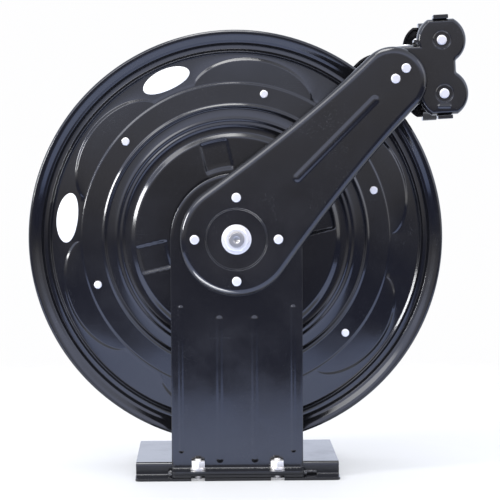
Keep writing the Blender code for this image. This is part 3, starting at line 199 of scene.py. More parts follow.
def mirrored(points, side):
    """Return the points as the rear side draws them: what is at +X stays at +X on the reel."""
    return [(side * x, y) for x, y in points]


def round_corner(before, corner, after, radius, share):
    """Return a rounded corner's points. It takes up at most a share of each side."""
    ends = []
    for side in (before - corner, after - corner):
        ends.append(corner + side.normalized() * min(radius, share * side.length))
    points = []
    for i in range(CORNER_STEPS + 1):
        t = i / CORNER_STEPS
        points.append(ends[0] * (1 - t) ** 2 + corner * 2 * t * (1 - t) + ends[1] * t ** 2)
    return points


def eased(points, radii):
    """Round the inner corners of an open line, and leave those with radius 0 as they are."""
    points = [Vector(point) for point in points]
    line = points[:1]
    for before, corner, after, radius in zip(points, points[1:], points[2:], radii):
        line += round_corner(before, corner, after, radius, 0.48) if radius else [corner]
    return line + points[-1:]


def lift(z):
    """Return the matrix that lifts a part by z metres."""
    return Matrix.Translation((0, 0, z))


def stand(side, out=0.0, x=0.0, z=HUB.z):
    """Stand a drawing's XY plane upright at X x and height z, out metres from the spool's mid plane."""
    upright = Matrix.Rotation(QUARTER, 4, "X")
    facing = Matrix.Rotation(0 if side > 0 else math.pi, 4, "Z")
    return Matrix.Translation((x, -side * out, z)) @ facing @ upright


# Meshes

def add_ring(bm, points, height=0.0):
    """Add a closed loop of vertices and edges at a height, and return its vertices."""
    ring = [bm.verts.new((x, y, height)) for x, y in points]
    for i, vertex in enumerate(ring):
        bm.edges.new((ring[i - 1], vertex))
    return ring


def join_rings(bm, rings):
    """Join closed loops with the same number of vertices, one to the next."""
    for lower, upper in zip(rings, rings[1:]):
        for i in range(len(lower)):
            bm.faces.new((lower[i - 1], lower[i], upper[i], upper[i - 1]))


def join_closed(bm, rings):
    """Join closed loops into a body with flat ends."""
    join_rings(bm, rings)
    bm.faces.new(rings[0])
    bm.faces.new(rings[-1])


def fill_flat(bm, loops):
    """Fill the flat area inside the first loop and outside the others."""
    edges = []
    for loop in loops:
        for i, vertex in enumerate(loop):
            edge = bm.edges.get((loop[i - 1], vertex))
            edges.append(edge or bm.edges.new((loop[i - 1], vertex)))
    bmesh.ops.triangle_fill(bm, use_beauty=True, use_dissolve=False, edges=edges)


def press(bm, outline, width, rise, holes=()):
    """Press the area inside outline(0) up or down over a soft slope, and return its outer loop."""
    rings = [add_ring(bm, outline(width * i / 7), rise * smooth(i / 7)) for i in range(8)]
    join_rings(bm, rings)
    fill_flat(bm, [rings[-1]] + [add_ring(bm, hole, rise) for hole in holes])
    return rings[0]


def roll_edge(bm, outline, depth, width, steps=10):
    """Add a plate's rolled edge, and return the loop of its flat face."""
    rings = [add_ring(bm, outline(0), -depth)]
    for i in range(steps + 1):
        angle = QUARTER * i / steps
        rings.append(add_ring(bm, outline(width * (1 - math.cos(angle))), depth * 0.92 * (math.sin(angle) - 1)))
    join_rings(bm, rings)
    return rings[-1]


def add_object(name, data):
    """Link a new object into the scene."""
    item = bpy.data.objects.new(name, data)
    bpy.context.scene.collection.objects.link(item)
    return item


def make_piece(name, bm, finish_name, body, matrix=None, replaces=(), sharp=40, closed=True):
    """Turn a bmesh into a piece that rides on a body and may stand for frame nodes."""
    if closed:
        bmesh.ops.recalc_face_normals(bm, faces=bm.faces)
    mesh = bpy.data.meshes.new(name)
    bm.to_mesh(mesh)
    bm.free()
    mesh.transform(matrix or Matrix())
    mesh.materials.append(reel_finish(finish_name))
    mesh.shade_smooth()
    mesh.set_sharp_from_angle(angle=math.radians(sharp))
    item = add_object(name, mesh)
    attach(item, body)
    if replaces:
        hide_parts(*replaces)
    return item


def thicken(item, thickness, even=True):
    """Give a sheet its thickness behind the side that faces out."""
    solidify = item.modifiers.new("Thickness", "SOLIDIFY")
    solidify.thickness = thickness
    solidify.offset = -1
    solidify.use_even_offset = even


def soften(item, edge):
    """Round an item's hard edges and keep its flats flat."""
    bevel = item.modifiers.new("Edges", "BEVEL")
    bevel.width = edge
    bevel.segments = 3
    bevel.limit_method = "ANGLE"
    bevel.angle_limit = math.radians(50)
    normals = item.modifiers.new("Flats", "WEIGHTED_NORMAL")
    normals.weight = 90
    normals.keep_sharp = True


def face_out(bm):
    """Turn a sheet's faces towards +Z."""
    bmesh.ops.recalc_face_normals(bm, faces=bm.faces)
    if sum(face.normal.z * face.calc_area() for face in bm.faces) < 0:
        bmesh.ops.reverse_faces(bm, faces=bm.faces)


def make_pressing(name, bm, thickness, matrix, node, edge=0.35 * MM):
    """Make a fixed piece of pressed sheet from the surface that faces out."""
    face_out(bm)
    item = make_piece(name, bm, "powder_coat", "stand", matrix, [node], sharp=60, closed=False)
    thicken(item, thickness)
    soften(item, edge)


def turned_mesh(profile, steps):
    """Spin a line of (radius, height) points about local Z. It closes on the axis or on itself."""
    bm = bmesh.new()
    points = [bm.verts.new((max(radius, 0), 0, height)) for radius, height in profile]
    edges = []
    for i, point in enumerate(points):
        if profile[i - 1][0] > ON_AXIS or profile[i][0] > ON_AXIS:
            edges.append(bm.edges.new((points[i - 1], point)))
    bmesh.ops.spin(bm, geom=points + edges, cent=(0, 0, 0), axis=(0, 0, 1), angle=math.tau,
                   steps=steps, use_merge=True)
    bmesh.ops.remove_doubles(bm, verts=bm.verts, dist=1e-7)
    return bm


def rounded_profile(points, radius):
    """Round every corner of a closed profile off the axis."""
    points = [Vector(point) for point in points]
    line = []
    for before, corner, after in zip(points[-1:] + points, points, points[1:] + points[:1]):
        line += [corner] if corner.x < ON_AXIS else round_corner(before, corner, after, radius, 0.4)
    return [(point.x, point.y) for point in line]


def turned(name, profile, steps, finish_name, body, matrix, node, ease=0.4 * MM):
    """Make a turned piece with eased corners."""
    bm = turned_mesh(rounded_profile(profile, ease), steps)
    make_piece(name, bm, finish_name, body, matrix, [node], sharp=50)


def add_mesh(target, source, matrix=None):
    """Add a bmesh to another and free it."""
    if matrix:
        bmesh.ops.transform(source, matrix=matrix, verts=source.verts)
    bmesh.ops.recalc_face_normals(source, faces=source.faces)
    mesh = bpy.data.meshes.new("part")
    source.to_mesh(mesh)
    source.free()
    target.from_mesh(mesh)
    bpy.data.meshes.remove(mesh)


def sleeve(inner, outer, low, high):
    """Return the profile of a ring, or of a rod if the inner radius is 0."""
    return [(inner, low), (outer, low), (outer, high), (inner, high)]


def add_turned(bm, profile, steps, ease=0.0, matrix=None):
    """Add a turned part to a bmesh, with eased corners if they are asked for."""
    add_mesh(bm, turned_mesh(rounded_profile(profile, ease) if ease else profile, steps), matrix)


def hexagon_radius(across, angle):
    """Return a hexagon's radius at an angle, from its size across flats."""
    return across / 2 / math.cos((angle + math.pi / 6) % (math.pi / 3) - math.pi / 6)


def hex_mesh(across, height, washer_radius=0.0, washer_height=0.0, bore=0.0, steps=48):
    """Build a chamfered hexagon head or nut with its bearing face at height 0, and a bore if it has one."""
    bm = bmesh.new()
    rings = []

    def level(z, limit, base=None):
        points = []
        for i in range(steps):
            angle = math.tau * i / steps
            radius = min(hexagon_radius(across, angle), limit) if base is None else base
            points.append(polar(radius, angle))
        rings.append(add_ring(bm, points, z))

    corner = across / math.sqrt(3)
    inner = max(bore, 0.01 * MM)
    level(0, 0, inner)
    if washer_radius:
        level(0, 0, washer_radius - 0.2 * MM)
        level(0.2 * MM, 0, washer_radius)
        level(washer_height, 0, washer_radius)
        level(washer_height + 0.2 * MM, 0, across / 2)
    low = washer_height + (0.3 * MM if washer_radius else 0)
    if not washer_radius:
        level(0, 0, across / 2 * 0.96)
        level(0.4 * MM, corner * 0.985)
    level(low + 0.3 * MM, corner)
    for i in range(6):
        t = i / 5
        drop = 0.18 * across * (1 - t)
        level(height - drop * 0.45, across / 2 * 0.95 + drop * 0.75)
    level(height, 0, across / 2 * 0.90)
    level(height, 0, inner + (0.4 * MM if bore else 0))
    if bore:
        level(height - 0.4 * MM, 0, inner)
    if bore:
        join_rings(bm, rings + rings[:1])
    else:
        join_closed(bm, rings)
    return bm


def thread_mesh(radius, bottom, top, pitch, steps=32, depth=None):
    """Build a threaded rod with a chamfered end."""
    bm = bmesh.new()
    depth = depth or 0.55 * pitch
    rings = []
    count = max(4, round((top - bottom) / (pitch / 6)))
    for k in range(count + 1):
        z = bottom + (top - bottom) * k / count
        limit = radius - max(0.0, z - (top - depth))
        points = []
        for i in range(steps):
            turn = (z / pitch - i / steps) % 1.0
            groove = abs(2 * turn - 1)
            points.append(polar(min(limit, radius - depth * groove), math.tau * i / steps))
        rings.append(add_ring(bm, points, z))
    join_closed(bm, rings)
    return bm


def tube_mesh(path, radii, steps):
    """Build a round tube along a path, with one radius for each of its points."""
    bm = bmesh.new()
    rings = []
    normal = None
    path = [Vector(point) for point in path]
    for i, (point, radius) in enumerate(zip(path, radii)):
        ahead = (path[min(i + 1, len(path) - 1)] - path[max(i - 1, 0)]).normalized()
        if normal is None:
            normal = ahead.orthogonal().normalized()
        normal = (normal - ahead * normal.dot(ahead)).normalized()
        across = ahead.cross(normal)
        ring = []
        for k in range(steps):
            a = math.tau * k / steps
            ring.append(bm.verts.new(point + (normal * math.cos(a) + across * math.sin(a)) * radius))
        rings.append(ring)
    join_closed(bm, rings)
    return bm


# Materials


def add_node(tree, kind, output, inputs, **settings):
    """Add a shader node, link or set its inputs, and return one of its outputs."""
    node = tree.nodes.new(f"ShaderNode{kind}")
    for key, value in settings.items():
        setattr(node, key, value)
    set_inputs(tree, node, inputs)
    return node.outputs[output]


def set_inputs(tree, node, inputs):
    """Link a node's inputs to sockets, or set them to numbers, vectors or colours of three numbers."""
    for name, value in inputs.items():
        if isinstance(value, bpy.types.NodeSocket):
            tree.links.new(value, node.inputs[name])
        else:
            node.inputs[name].default_value = (*value, 1) if isinstance(value, tuple) else value


def noise_node(tree, vector, scale, detail, rough=0.55):
    """Add a noise texture on a vector."""
    inputs = {"Vector": vector, "Scale": scale, "Detail": detail, "Roughness": rough}
    return add_node(tree, "TexNoise", "Fac", inputs)


def map_range(tree, value, low, high, to_low=0.0, to_high=1.0):
    """Add a clamped map from one range to another."""
    inputs = {"Value": value, "From Min": low, "From Max": high, "To Min": to_low, "To Max": to_high}
    return add_node(tree, "MapRange", "Result", inputs)


def maths(tree, operation, first, second):
    """Add a maths node; each input is a socket or a number."""
    return add_node(tree, "Math", 0, {0: first, 1: second}, operation=operation)


def mix_colour(tree, share, first, second):
    """Add a colour mix; each colour is a socket or three numbers."""
    return add_node(tree, "Mix", 2, {0: share, 6: first, 7: second}, data_type="RGBA")


def surface_skin():
    """Build the shared skin effect: handling smudges, dust specks, hairline scratches and a fine grain."""
    if "Reel Skin" in bpy.data.node_groups:
        return bpy.data.node_groups["Reel Skin"]
    group = bpy.data.node_groups.new("Reel Skin", "ShaderNodeTree")
    for name, scale in (("Grain Scale", 500.0), ("Smudge Scale", 14.0)):
        socket = group.interface.new_socket(name, in_out="INPUT", socket_type="NodeSocketFloat")
        socket.default_value = scale
    for name in ("Grain", "Smudge", "Dust", "Scratch"):
        group.interface.new_socket(name, in_out="OUTPUT", socket_type="NodeSocketFloat")
    start = group.nodes.new("NodeGroupInput").outputs
    place = group.nodes.new("ShaderNodeTexCoord").outputs["Object"]
    smudge = noise_node(group, place, start["Smudge Scale"], 5, 0.6)
    specks = map_range(group, noise_node(group, place, 900, 1), 0.66, 0.74)
    cover = map_range(group, noise_node(group, place, 22, 3), 0.45, 0.75)
    stretch = {"Vector": place, "Rotation": Vector((0.3, 0.9, 0.5)), "Scale": Vector((3, 160, 160))}
    hairs = noise_node(group, add_node(group, "Mapping", "Vector", stretch), 6, 2)
    set_inputs(group, group.nodes.new("NodeGroupOutput"), {
        "Grain": noise_node(group, place, start["Grain Scale"], 2),
        "Smudge": map_range(group, smudge, 0.42, 0.68),
        "Dust": maths(group, "MULTIPLY", specks, cover),
        "Scratch": map_range(group, hairs, 0.70, 0.74),
    })
    return group


def finish(name, colour, roughness, grain, bump, smudge, dust, mottle, metallic=0.0, scratch=0.0, ior=1.5):
    """Make a material whose colour, roughness and relief come from the shared skin effect."""
    material = bpy.data.materials.new(name)
    material.use_nodes = True
    material.diffuse_color = (*colour, 1)
    tree = material.node_tree
    skin = tree.nodes.new("ShaderNodeGroup")
    skin.node_tree = surface_skin()
    skin.inputs["Grain Scale"].default_value = grain
    skin = skin.outputs
    tint = mix_colour(tree, skin["Smudge"], colour, tuple(channel * (1 - mottle) for channel in colour))
    rough = map_range(tree, skin["Smudge"], 0, 1, roughness, roughness + smudge)
    relief = {"Strength": bump, "Distance": 0.2 * MM, "Height": skin["Grain"]}
    set_inputs(tree, tree.nodes["Principled BSDF"], {
        "Metallic": metallic,
        "IOR": ior,
        "Base Color": mix_colour(tree, maths(tree, "MULTIPLY", skin["Dust"], dust[3]), tint, dust[:3]),
        "Roughness": maths(tree, "ADD", rough, maths(tree, "MULTIPLY", skin["Scratch"], scratch)),
        "Normal": add_node(tree, "Bump", "Normal", relief),
    })
    return material


def reel_finish(name):
    """Return one of the reel's finishes, made from the colours in its settings."""
    if name in bpy.data.materials:
        return bpy.data.materials[name]
    colour, _, shade, look = FINISHES[name]
    if isinstance(colour, str):
        colour = getattr(bpy.context.scene.reel_finishes, colour)
    return finish(name, tuple(shade * channel for channel in colour), **look)


FINISHES = {
    "powder_coat": ("paint", "black_paint", 1, dict(
        roughness=0.10, grain=420, bump=0.045, smudge=0.10, ior=1.58, dust=(0.35, 0.36, 0.38, 0.14), mottle=-0.25,
        scratch=0.10)),
    "zinc_plate": ("zinc", "zinc", 1, dict(
        roughness=0.46, metallic=1, grain=900, bump=0.10, smudge=0.12, mottle=0.08, dust=(0.5, 0.5, 0.5, 0.3),
        scratch=0.15)),
    "ground_steel": ("zinc", "zinc", 0.5, dict(
        roughness=0.34, metallic=1, grain=600, bump=0.12, smudge=0.2, mottle=0.3, dust=(0.2, 0.2, 0.2, 0.3),
        scratch=0.2)),
    "brass": ("brass", "brass", 1, dict(
        roughness=0.26, metallic=1, grain=700, bump=0.10, smudge=0.18, mottle=0.25, dust=(0.2, 0.14, 0.08, 0.4),
        scratch=0.15)),
    "bronze": ("bronze", "bronze", 1, dict(
        roughness=0.38, metallic=1, grain=1500, bump=0.30, smudge=0.12, mottle=0.3, dust=(0.05, 0.04, 0.03, 0.8))),
    "spring_steel": ("spring_steel", "spring_steel", 1, dict(
        roughness=0.30, metallic=1, grain=800, bump=0.08, smudge=0.2, mottle=0.35, dust=(0.2, 0.16, 0.12, 0.3),
        scratch=0.2)),
    "nylon": ("nylon", "nylon", 1, dict(
        roughness=0.36, grain=1100, bump=0.22, smudge=0.14, mottle=-0.4, dust=(0.3, 0.3, 0.3, 0.25), scratch=0.15)),
    "label": ("label", None, 1, dict(
        roughness=0.30, grain=900, bump=0.06, smudge=0.12, mottle=0.05, dust=(0.35, 0.33, 0.3, 0.25))),
    "weld_bead": ((0.07, 0.07, 0.075), None, 1, dict(
        roughness=0.20, metallic=0.2, grain=700, bump=0.6, smudge=0.2, mottle=0.5, dust=(0.1, 0.1, 0.1, 0.7))),
}


def dress_node(node, finish_name):
    """Give a frame node that stays in view a finish of its own."""
    item = frame["nodes"][node]
    item.data.materials.clear()
    item.data.materials.append(reel_finish(finish_name))


# Base plate and pedestals

STUD_PLACES = (45 * MM, -45 * MM)
# X place, top and bottom below the spool's axis, and width of each pair of ribs
PEDESTAL_RIBS = ((20 * MM, 91 * MM, 251 * MM, 9.5 * MM), (64 * MM, 78 * MM, 241 * MM, 7.2 * MM))


def turned_out_edge(edge, half, corner, inner, slots=(), slot_width=0.0):
    """Return the outline of a lip or foot: round outer corners, and slots open at its edge."""
    points = [(-half, inner), (half, inner)] + arc((half - corner, edge - corner), corner, 0, QUARTER, 8)
    radius = slot_width / 2
    for x in slots:
        points.append((x + radius, edge))
        points += arc((x, edge - SLOT_DEPTH + radius), radius, 0, -math.pi, 20) + [(x - radius, edge)]
    return points + arc((corner - half, edge - corner), corner, QUARTER, math.pi, 8)


def build_base(sizes):
    """Build the base plate as one folded sheet."""
    bm = bmesh.new()
    half = sizes.base_width / 2
    face = PEDESTAL_BACK - GAP
    lip_top = FLOOR + sizes.base_sheet
    inner = 1 * MM
    outer = inner + sizes.base_sheet
    side = arc((face + inner, lip_top + inner), inner, -QUARTER, -math.pi, 8)
    side += arc((face - outer, -outer), outer, 0, QUARTER, 12)
    path = [(-y, z) for y, z in side] + side[::-1]
    columns = [-half + sizes.base_width * i / 8 for i in range(9)]
    strips = [[bm.verts.new((x, y, z)) for x in columns] for y, z in path]
    for near, far in zip(strips, strips[1:]):
        for i in range(8):
            bm.faces.new((near[i], near[i + 1], far[i + 1], far[i]))
    outline = turned_out_edge(LIP_EDGE, half, FOOT_CORNER, face + inner, STUD_PLACES, sizes.slot_width)
    for sign, strip in ((-1, strips[0]), (1, strips[-1])):
        fill_flat(bm, [strip + [bm.verts.new((x, sign * y, lip_top)) for x, y in outline[2:]]])
    make_pressing("base_pressing", bm, sizes.base_sheet, Matrix(), "base_plate")


def rib(start, end, width):
    """Return the outline of a pressed rib with round ends as a function of its inset."""
    angle = math.atan2(end[1] - start[1], end[0] - start[0])
    left, right = angle + QUARTER, angle - QUARTER
    return lambda inset: (arc(end, width / 2 - inset, right, left, 12)
                          + arc(start, width / 2 - inset, left, right + math.tau, 12))


def build_pedestal(name, side, sizes):
    """Build a pedestal: round top, pressed ribs and a foot turned out over the lip."""
    bm = bmesh.new()
    half = sizes.pedestal_width / 2
    foot_level = FLOOR + sizes.base_sheet + GAP + sizes.foot_thickness - HUB.z
    bend = 1.2 * MM
    bend_top = foot_level + bend
    rings = []
    for i in range(7):
        angle = QUARTER * i / 6
        inset, drop = 4.2 * MM * (1 - math.cos(angle)), 1.4 * MM * (math.sin(angle) - 1)
        outline = [(inset - half, bend_top), (half - inset, bend_top)]
        rings.append(add_ring(bm, outline + arc((0, 0), half - inset, 0, math.pi, 72), drop))
    join_rings(bm, rings)
    for ring, following in zip(rings, rings[1:]):
        bm.faces.remove(bm.faces.get((ring[0], ring[1], following[1], following[0])))
    loops = [rings[-1], add_ring(bm, circle(SHAFT_HOLE, 32))]
    for x, top, bottom, width in PEDESTAL_RIBS:
        for sign in (-1, 1):
            outline = rib((sign * x, -bottom), (sign * x, -top), width)
            loops.append(press(bm, outline, 0.44 * width, sizes.rib_height))
    fill_flat(bm, loops)
    row = top = [ring[0] for ring in rings] + [ring[1] for ring in reversed(rings)]
    for i in range(1, 9):
        angle = QUARTER * i / 8
        y, height = bend_top - bend * math.sin(angle), bend * (1 - math.cos(angle))
        lower = [bm.verts.new((vertex.co.x, y, height + vertex.co.z * (1 - i / 8))) for vertex in top]
        for k in range(len(row) - 1):
            bm.faces.new((row[k], row[k + 1], lower[k + 1], lower[k]))
        row = lower
    edge = LIP_EDGE - 0.4 * MM
    outline = turned_out_edge(edge, half, FOOT_CORNER, PEDESTAL_FACE + bend)
    fill_flat(bm, [row + [bm.verts.new((x, foot_level, out - PEDESTAL_FACE)) for x, out in outline[2:]]])
    make_pressing(f"{name}_pedestal_pressing", bm, 3 * MM, stand(side, PEDESTAL_FACE), f"{name}_pedestal",
                  edge=0.8 * MM)
    build_foot_bar(name, side, sizes, edge - GAP)


def build_foot_bar(name, side, sizes, edge):
    """Build the layer folded back under a foot, notched from below over the studs' heads."""
    bm = bmesh.new()
    half = sizes.pedestal_width / 2 - 0.2 * MM
    back = PEDESTAL_FACE + 3.4 * MM
    low = FLOOR + sizes.base_sheet + GAP
    middle, high = low + 2.2 * MM, low + sizes.foot_thickness - 3.15 * MM
    ease = 0.5 * MM

    def level(inset, z, slots=()):
        outline = turned_out_edge(edge - inset, half - inset, FOOT_CORNER - inset, back + inset, slots,
                                  sizes.slot_width + 2 * inset)
        return add_ring(bm, outline, z)

    lower = [level(inset, z, STUD_PLACES) for inset, z in ((ease, low), (0, low + ease), (0, middle))]
    join_rings(bm, lower)
    upper = [level(inset, z) for inset, z in ((0, middle), (0, high - ease), (ease, high))]
    join_rings(bm, upper)
    for ring in (lower[0], lower[-1], upper[0], upper[-1]):
        fill_flat(bm, [ring])
    facing = Matrix.Rotation(math.pi if side > 0 else 0, 4, "Z")
    make_piece(f"{name}_foot_bar", bm, "powder_coat", "stand", facing, sharp=35)


def build_weld(name, start, end, radius, seed):
    """Build a rough weld bead between two points."""
    start, end = Vector(start), Vector(end)
    length = (end - start).length
    count = max(10, round(length / (0.5 * MM)))
    path, radii = [], []
    for i in range(count + 1):
        t = i / count
        ripple = 0.12 * math.sin(t * length / (1.3 * MM) * math.tau)
        swell = math.sqrt(max(0.0, 1 - (2 * t - 1) ** 6))
        path.append(start.lerp(end, t))
        radii.append(radius * max(0.08, swell * (1 + ripple)))
    bm = tube_mesh(path, radii, 14)
    for vertex in bm.verts:
        vertex.co += noise.noise_vector(vertex.co * 700 + Vector((seed, 0, 0))) * radius * 0.25
    make_piece(name, bm, "weld_bead", "stand", sharp=80)


def build_welds(sizes):
    """Build the weld beads at the ends of the feet, down to the base plate's lips."""
    end = sizes.pedestal_width / 2
    level = FLOOR + sizes.base_sheet + 2.6 * MM
    noise.seed_set(1)  # without it, the clock seeds noise_vector and each run's beads differ
    number = 0
    for side in (1, -1):
        near, far = PEDESTAL_BACK + 2.2 * MM, PEDESTAL_BACK + 15 * MM
        for start, stop, radius in (
            ((-end - 1.4 * MM, near), (-end - 1.0 * MM, far), 2.9 * MM),
            ((end + 1.2 * MM, near + 2 * MM), (end + 1.0 * MM, far), 2.5 * MM),
            ((end - 0.5 * MM, near - 0.6 * MM), (end + 16 * MM, near - 0.8 * MM), 2.3 * MM),
        ):
            number += 1
            build_weld(f"weld_bead_{number}", (start[0], -side * start[1], level),
                       (stop[0], -side * stop[1], level - 0.4 * MM), radius, number)


# Guide arms

def arm_outline(sizes, inset):
    """Return a guide arm's outline, drawn in by inset."""
    hub, tip, length = sizes.hub_radius - inset, sizes.tip_radius - inset, sizes.arm_length
    power = 1.6
    lean = math.atan(power * (hub - tip) / length)
    start, width = hub * math.sin(lean), hub * math.cos(lean)
    side = []
    for i in range(1, 20):
        share = i / 20
        side.append((start + (length - start) * share, tip + (width - tip) * (1 - share) ** power))
    points = arc((0, 0), hub, QUARTER - lean, 3 * QUARTER + lean, 56) + [(u, -v) for u, v in side]
    points += arc((length, 0), tip, -QUARTER, QUARTER, 40) + side[::-1]
    cos, sin = polar(1, ARM_ANGLE)
    return [(u * cos - v * sin, u * sin + v * cos) for u, v in points]


def hub_bolt_places():
    """Return the centres of the bolts round an arm's hub."""
    return [polar(47.5 * MM, QUARTER * i) for i in range(4)]


def arm_bolt_places(sizes):
    """Return the centres of the bolts at an arm's end."""
    return [polar(sizes.arm_length + beyond, ARM_ANGLE) for beyond in (3.5 * MM, 20.3 * MM)]


def build_arm(name, side, sizes, rib_height):
    """Build a guide arm: rolled edge, one long rib, a dished hub and seats for its bolts."""
    bm = bmesh.new()
    loops = [roll_edge(bm, lambda inset: mirrored(arm_outline(sizes, inset), side), 8 * MM, sizes.edge_roll)]
    loops.append(press(bm, lambda inset: circle(36 * MM - inset, 72), 2.6 * MM, -2.2 * MM,
                       holes=[circle(SHAFT_HOLE, 32)]))
    line = rib(polar(98 * MM, ARM_ANGLE), polar(sizes.arm_length - 30 * MM, ARM_ANGLE), 12 * MM)
    loops.append(press(bm, lambda inset: mirrored(line(inset), side), 5.2 * MM, rib_height))
    fill_flat(bm, loops)
    make_pressing(f"{name}_arm_pressing", bm, ARM_SHEET, stand(side, ARM_FACE), f"{name}_arm")
    pads = bmesh.new()
    profile = [(3.4 * MM, -8 * MM), (8 * MM, -8 * MM), (9 * MM, -2 * MM), (3.4 * MM, -2 * MM)]
    for x, y in hub_bolt_places() + mirrored(arm_bolt_places(sizes), side):
        add_turned(pads, profile, 32, 0.6 * MM, Matrix.Translation((x, y, 0)))
    make_piece(f"{name}_arm_pads", pads, "powder_coat", "stand", stand(side, ARM_FACE))


# Spool

LOBE_START = math.radians(23)
LOBE_HALF = math.radians(21.8)
BAND_START = math.radians(13)
# The disc's section in millimetres: (radius, height), where None stands for the radial bands' height
PLATEAU = ((30, 5), (79, 5), (82.5, None), (90, None), (97.5, None), (105, None), (112.5, None), (116, 5),
           (121, 1.5), (128, 1.5), (131, 3), (134, 1.5), (137, 3), (140, 1.5), (149, 0), (152, 2.2), (155, 0))
# and (distance in from the rim, height)
RIM = ((17.6, -7.4), (14.6, -4), (11.6, -3), (7, 0.2), (2.6, 1.6), (0, -0.9), (1.0, -3.6))


def lobe_columns(sizes):
    """Return the angles of the disc's columns, closer together at the lobes' ends and the bands' edges."""
    pitch = math.tau / sizes.lobes
    angles = []
    for lobe in range(sizes.lobes):
        middle = LOBE_START + pitch * lobe
        for i in range(31):
            angles.append(middle + LOBE_HALF * math.sin(-QUARTER + math.pi * i / 30))
        for i in range(1, 8):
            angles.append(middle + LOBE_HALF + (pitch - 2 * LOBE_HALF) * i / 8)
    for band in range(4):
        for sign in (-1, 1):
            for i in range(17):
                angles.append(BAND_START + QUARTER * band + sign * math.radians(6 + 0.42 * i))
    return sorted(angle % math.tau for angle in angles)


def disc_profile(sizes, angle):
    """Return the disc's section at an angle as (radius, height) control points."""
    inner, rim = sizes.drum_radius + 1 * MM, sizes.disc_radius
    pitch = math.tau / sizes.lobes
    away = (angle - LOBE_START + pitch / 2) % pitch - pitch / 2
    share = min(1.0, abs(away) / LOBE_HALF)
    lobe = inner + 1.6 * MM + 24.4 * MM * (1 - share * share) ** 0.66
    cone = inner + 33 * MM

    def slope(radius):
        return -1.3 * MM - 3.9 * MM * (radius - inner) / (cone - inner)

    across = abs(math.sin((angle - BAND_START + QUARTER / 2) % QUARTER - QUARTER / 2))

    def band(radius):
        edge = min(1.0, max(0.0, (17 * MM - radius * across) / (3.2 * MM)))
        return 5 * MM - 1.6 * MM * smooth(edge)

    points = [(radius * MM, band(radius * MM) if height is None else height * MM) for radius, height in PLATEAU]
    points += [(inner - 1.6 * MM, 0), (inner + 0.4 * MM, -1.2 * MM), (lobe, 0.2 * slope(lobe) - 0.94 * MM),
               (lobe + 3.2 * MM, slope(lobe + 3.2 * MM)), (cone, slope(cone))]
    points += [(cone + out * MM, slope(cone) + up * MM) for out, up in ((0.6, 0.47), (2.2, 1.73), (2.8, 2.21))]
    points.append((cone + 5.6 * MM, -6.6 * MM))
    return points + [(rim - inward * MM, height * MM) for inward, height in RIM]


def disc_line(sizes, angle):
    """Return the disc's section at an angle with its bends rounded."""
    points = disc_profile(sizes, angle)
    radii = [1.2 * MM] * (len(points) - 2)
    radii[15:20] = [0.8 * MM] * 5
    radii[20:28] = [0.5 * MM, 0, 0] + [0.5 * MM] * 5
    return eased(points, radii)


def build_disc(name, side, sizes):
    """Build a pressed spool disc with its rings, lobes, bands and rolled rim."""
    bm = bmesh.new()
    columns = []
    for angle in lobe_columns(sizes):
        cos, sin = polar(1, angle)
        columns.append([bm.verts.new((side * p.x * cos, p.x * sin, p.y)) for p in disc_line(sizes, angle)])
    for i, column in enumerate(columns):
        before = columns[i - 1]
        for k in range(len(column) - 1):
            bm.faces.new((before[k], before[k + 1], column[k + 1], column[k]))
    bmesh.ops.remove_doubles(bm, verts=bm.verts, dist=1e-6)
    face_out(bm)
    item = make_piece(f"{name}_disc_pressing", bm, "powder_coat", "spool", stand(side, DISC_FACE),
                      [f"{name}_disc"], sharp=80, closed=False)
    thicken(item, sizes.disc_sheet, even=False)


def build_drum(sizes):
    """Build the drum core with flanges turned in against the discs."""
    half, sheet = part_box("drum_core")[1].y, 2 * MM
    outer, inner = sizes.drum_radius, sizes.drum_radius - 18 * MM
    profile = [(outer, -half), (outer, half), (inner, half), (inner, half - sheet), (outer - sheet, half - sheet),
               (outer - sheet, sheet - half), (inner, sheet - half), (inner, -half)]
    turned("drum_shell", profile, 144, "powder_coat", "spool", stand(1), "drum_core", ease=1.2 * MM)


def label_height(sizes, radius, angle):
    """Return the height of the disc's face at a radius and angle."""
    line = disc_line(sizes, angle)
    for near, far in zip(line, line[1:]):
        if near.x <= radius <= far.x:
            return near.y + (far.y - near.y) * (radius - near.x) / max(far.x - near.x, 1e-9)
    return line[-1].y


def build_label(name, sizes, angle, middle):
    """Build a bare oval label that lies on the front disc's sloping band."""
    bm = bmesh.new()
    length, width = LABEL_SIZE
    rings = []
    for share, rise in ((0.02, 0.34), (0.35, 0.34), (0.7, 0.34), (0.9, 0.34), (0.985, 0.32), (1.0, 0.08)):
        ring = []
        for i in range(72):
            turn = math.tau * i / 72
            radius = middle + share * width / 2 * math.cos(turn)
            theta = angle + share * length / 2 * math.sin(turn) / middle
            ring.append(bm.verts.new((*polar(radius, theta), label_height(sizes, radius, theta) + rise * MM)))
        rings.append(ring)
    bm.faces.new(rings[0])
    join_rings(bm, rings)
    make_piece(name, bm, "label", "spool", stand(1, DISC_FACE), sharp=80)


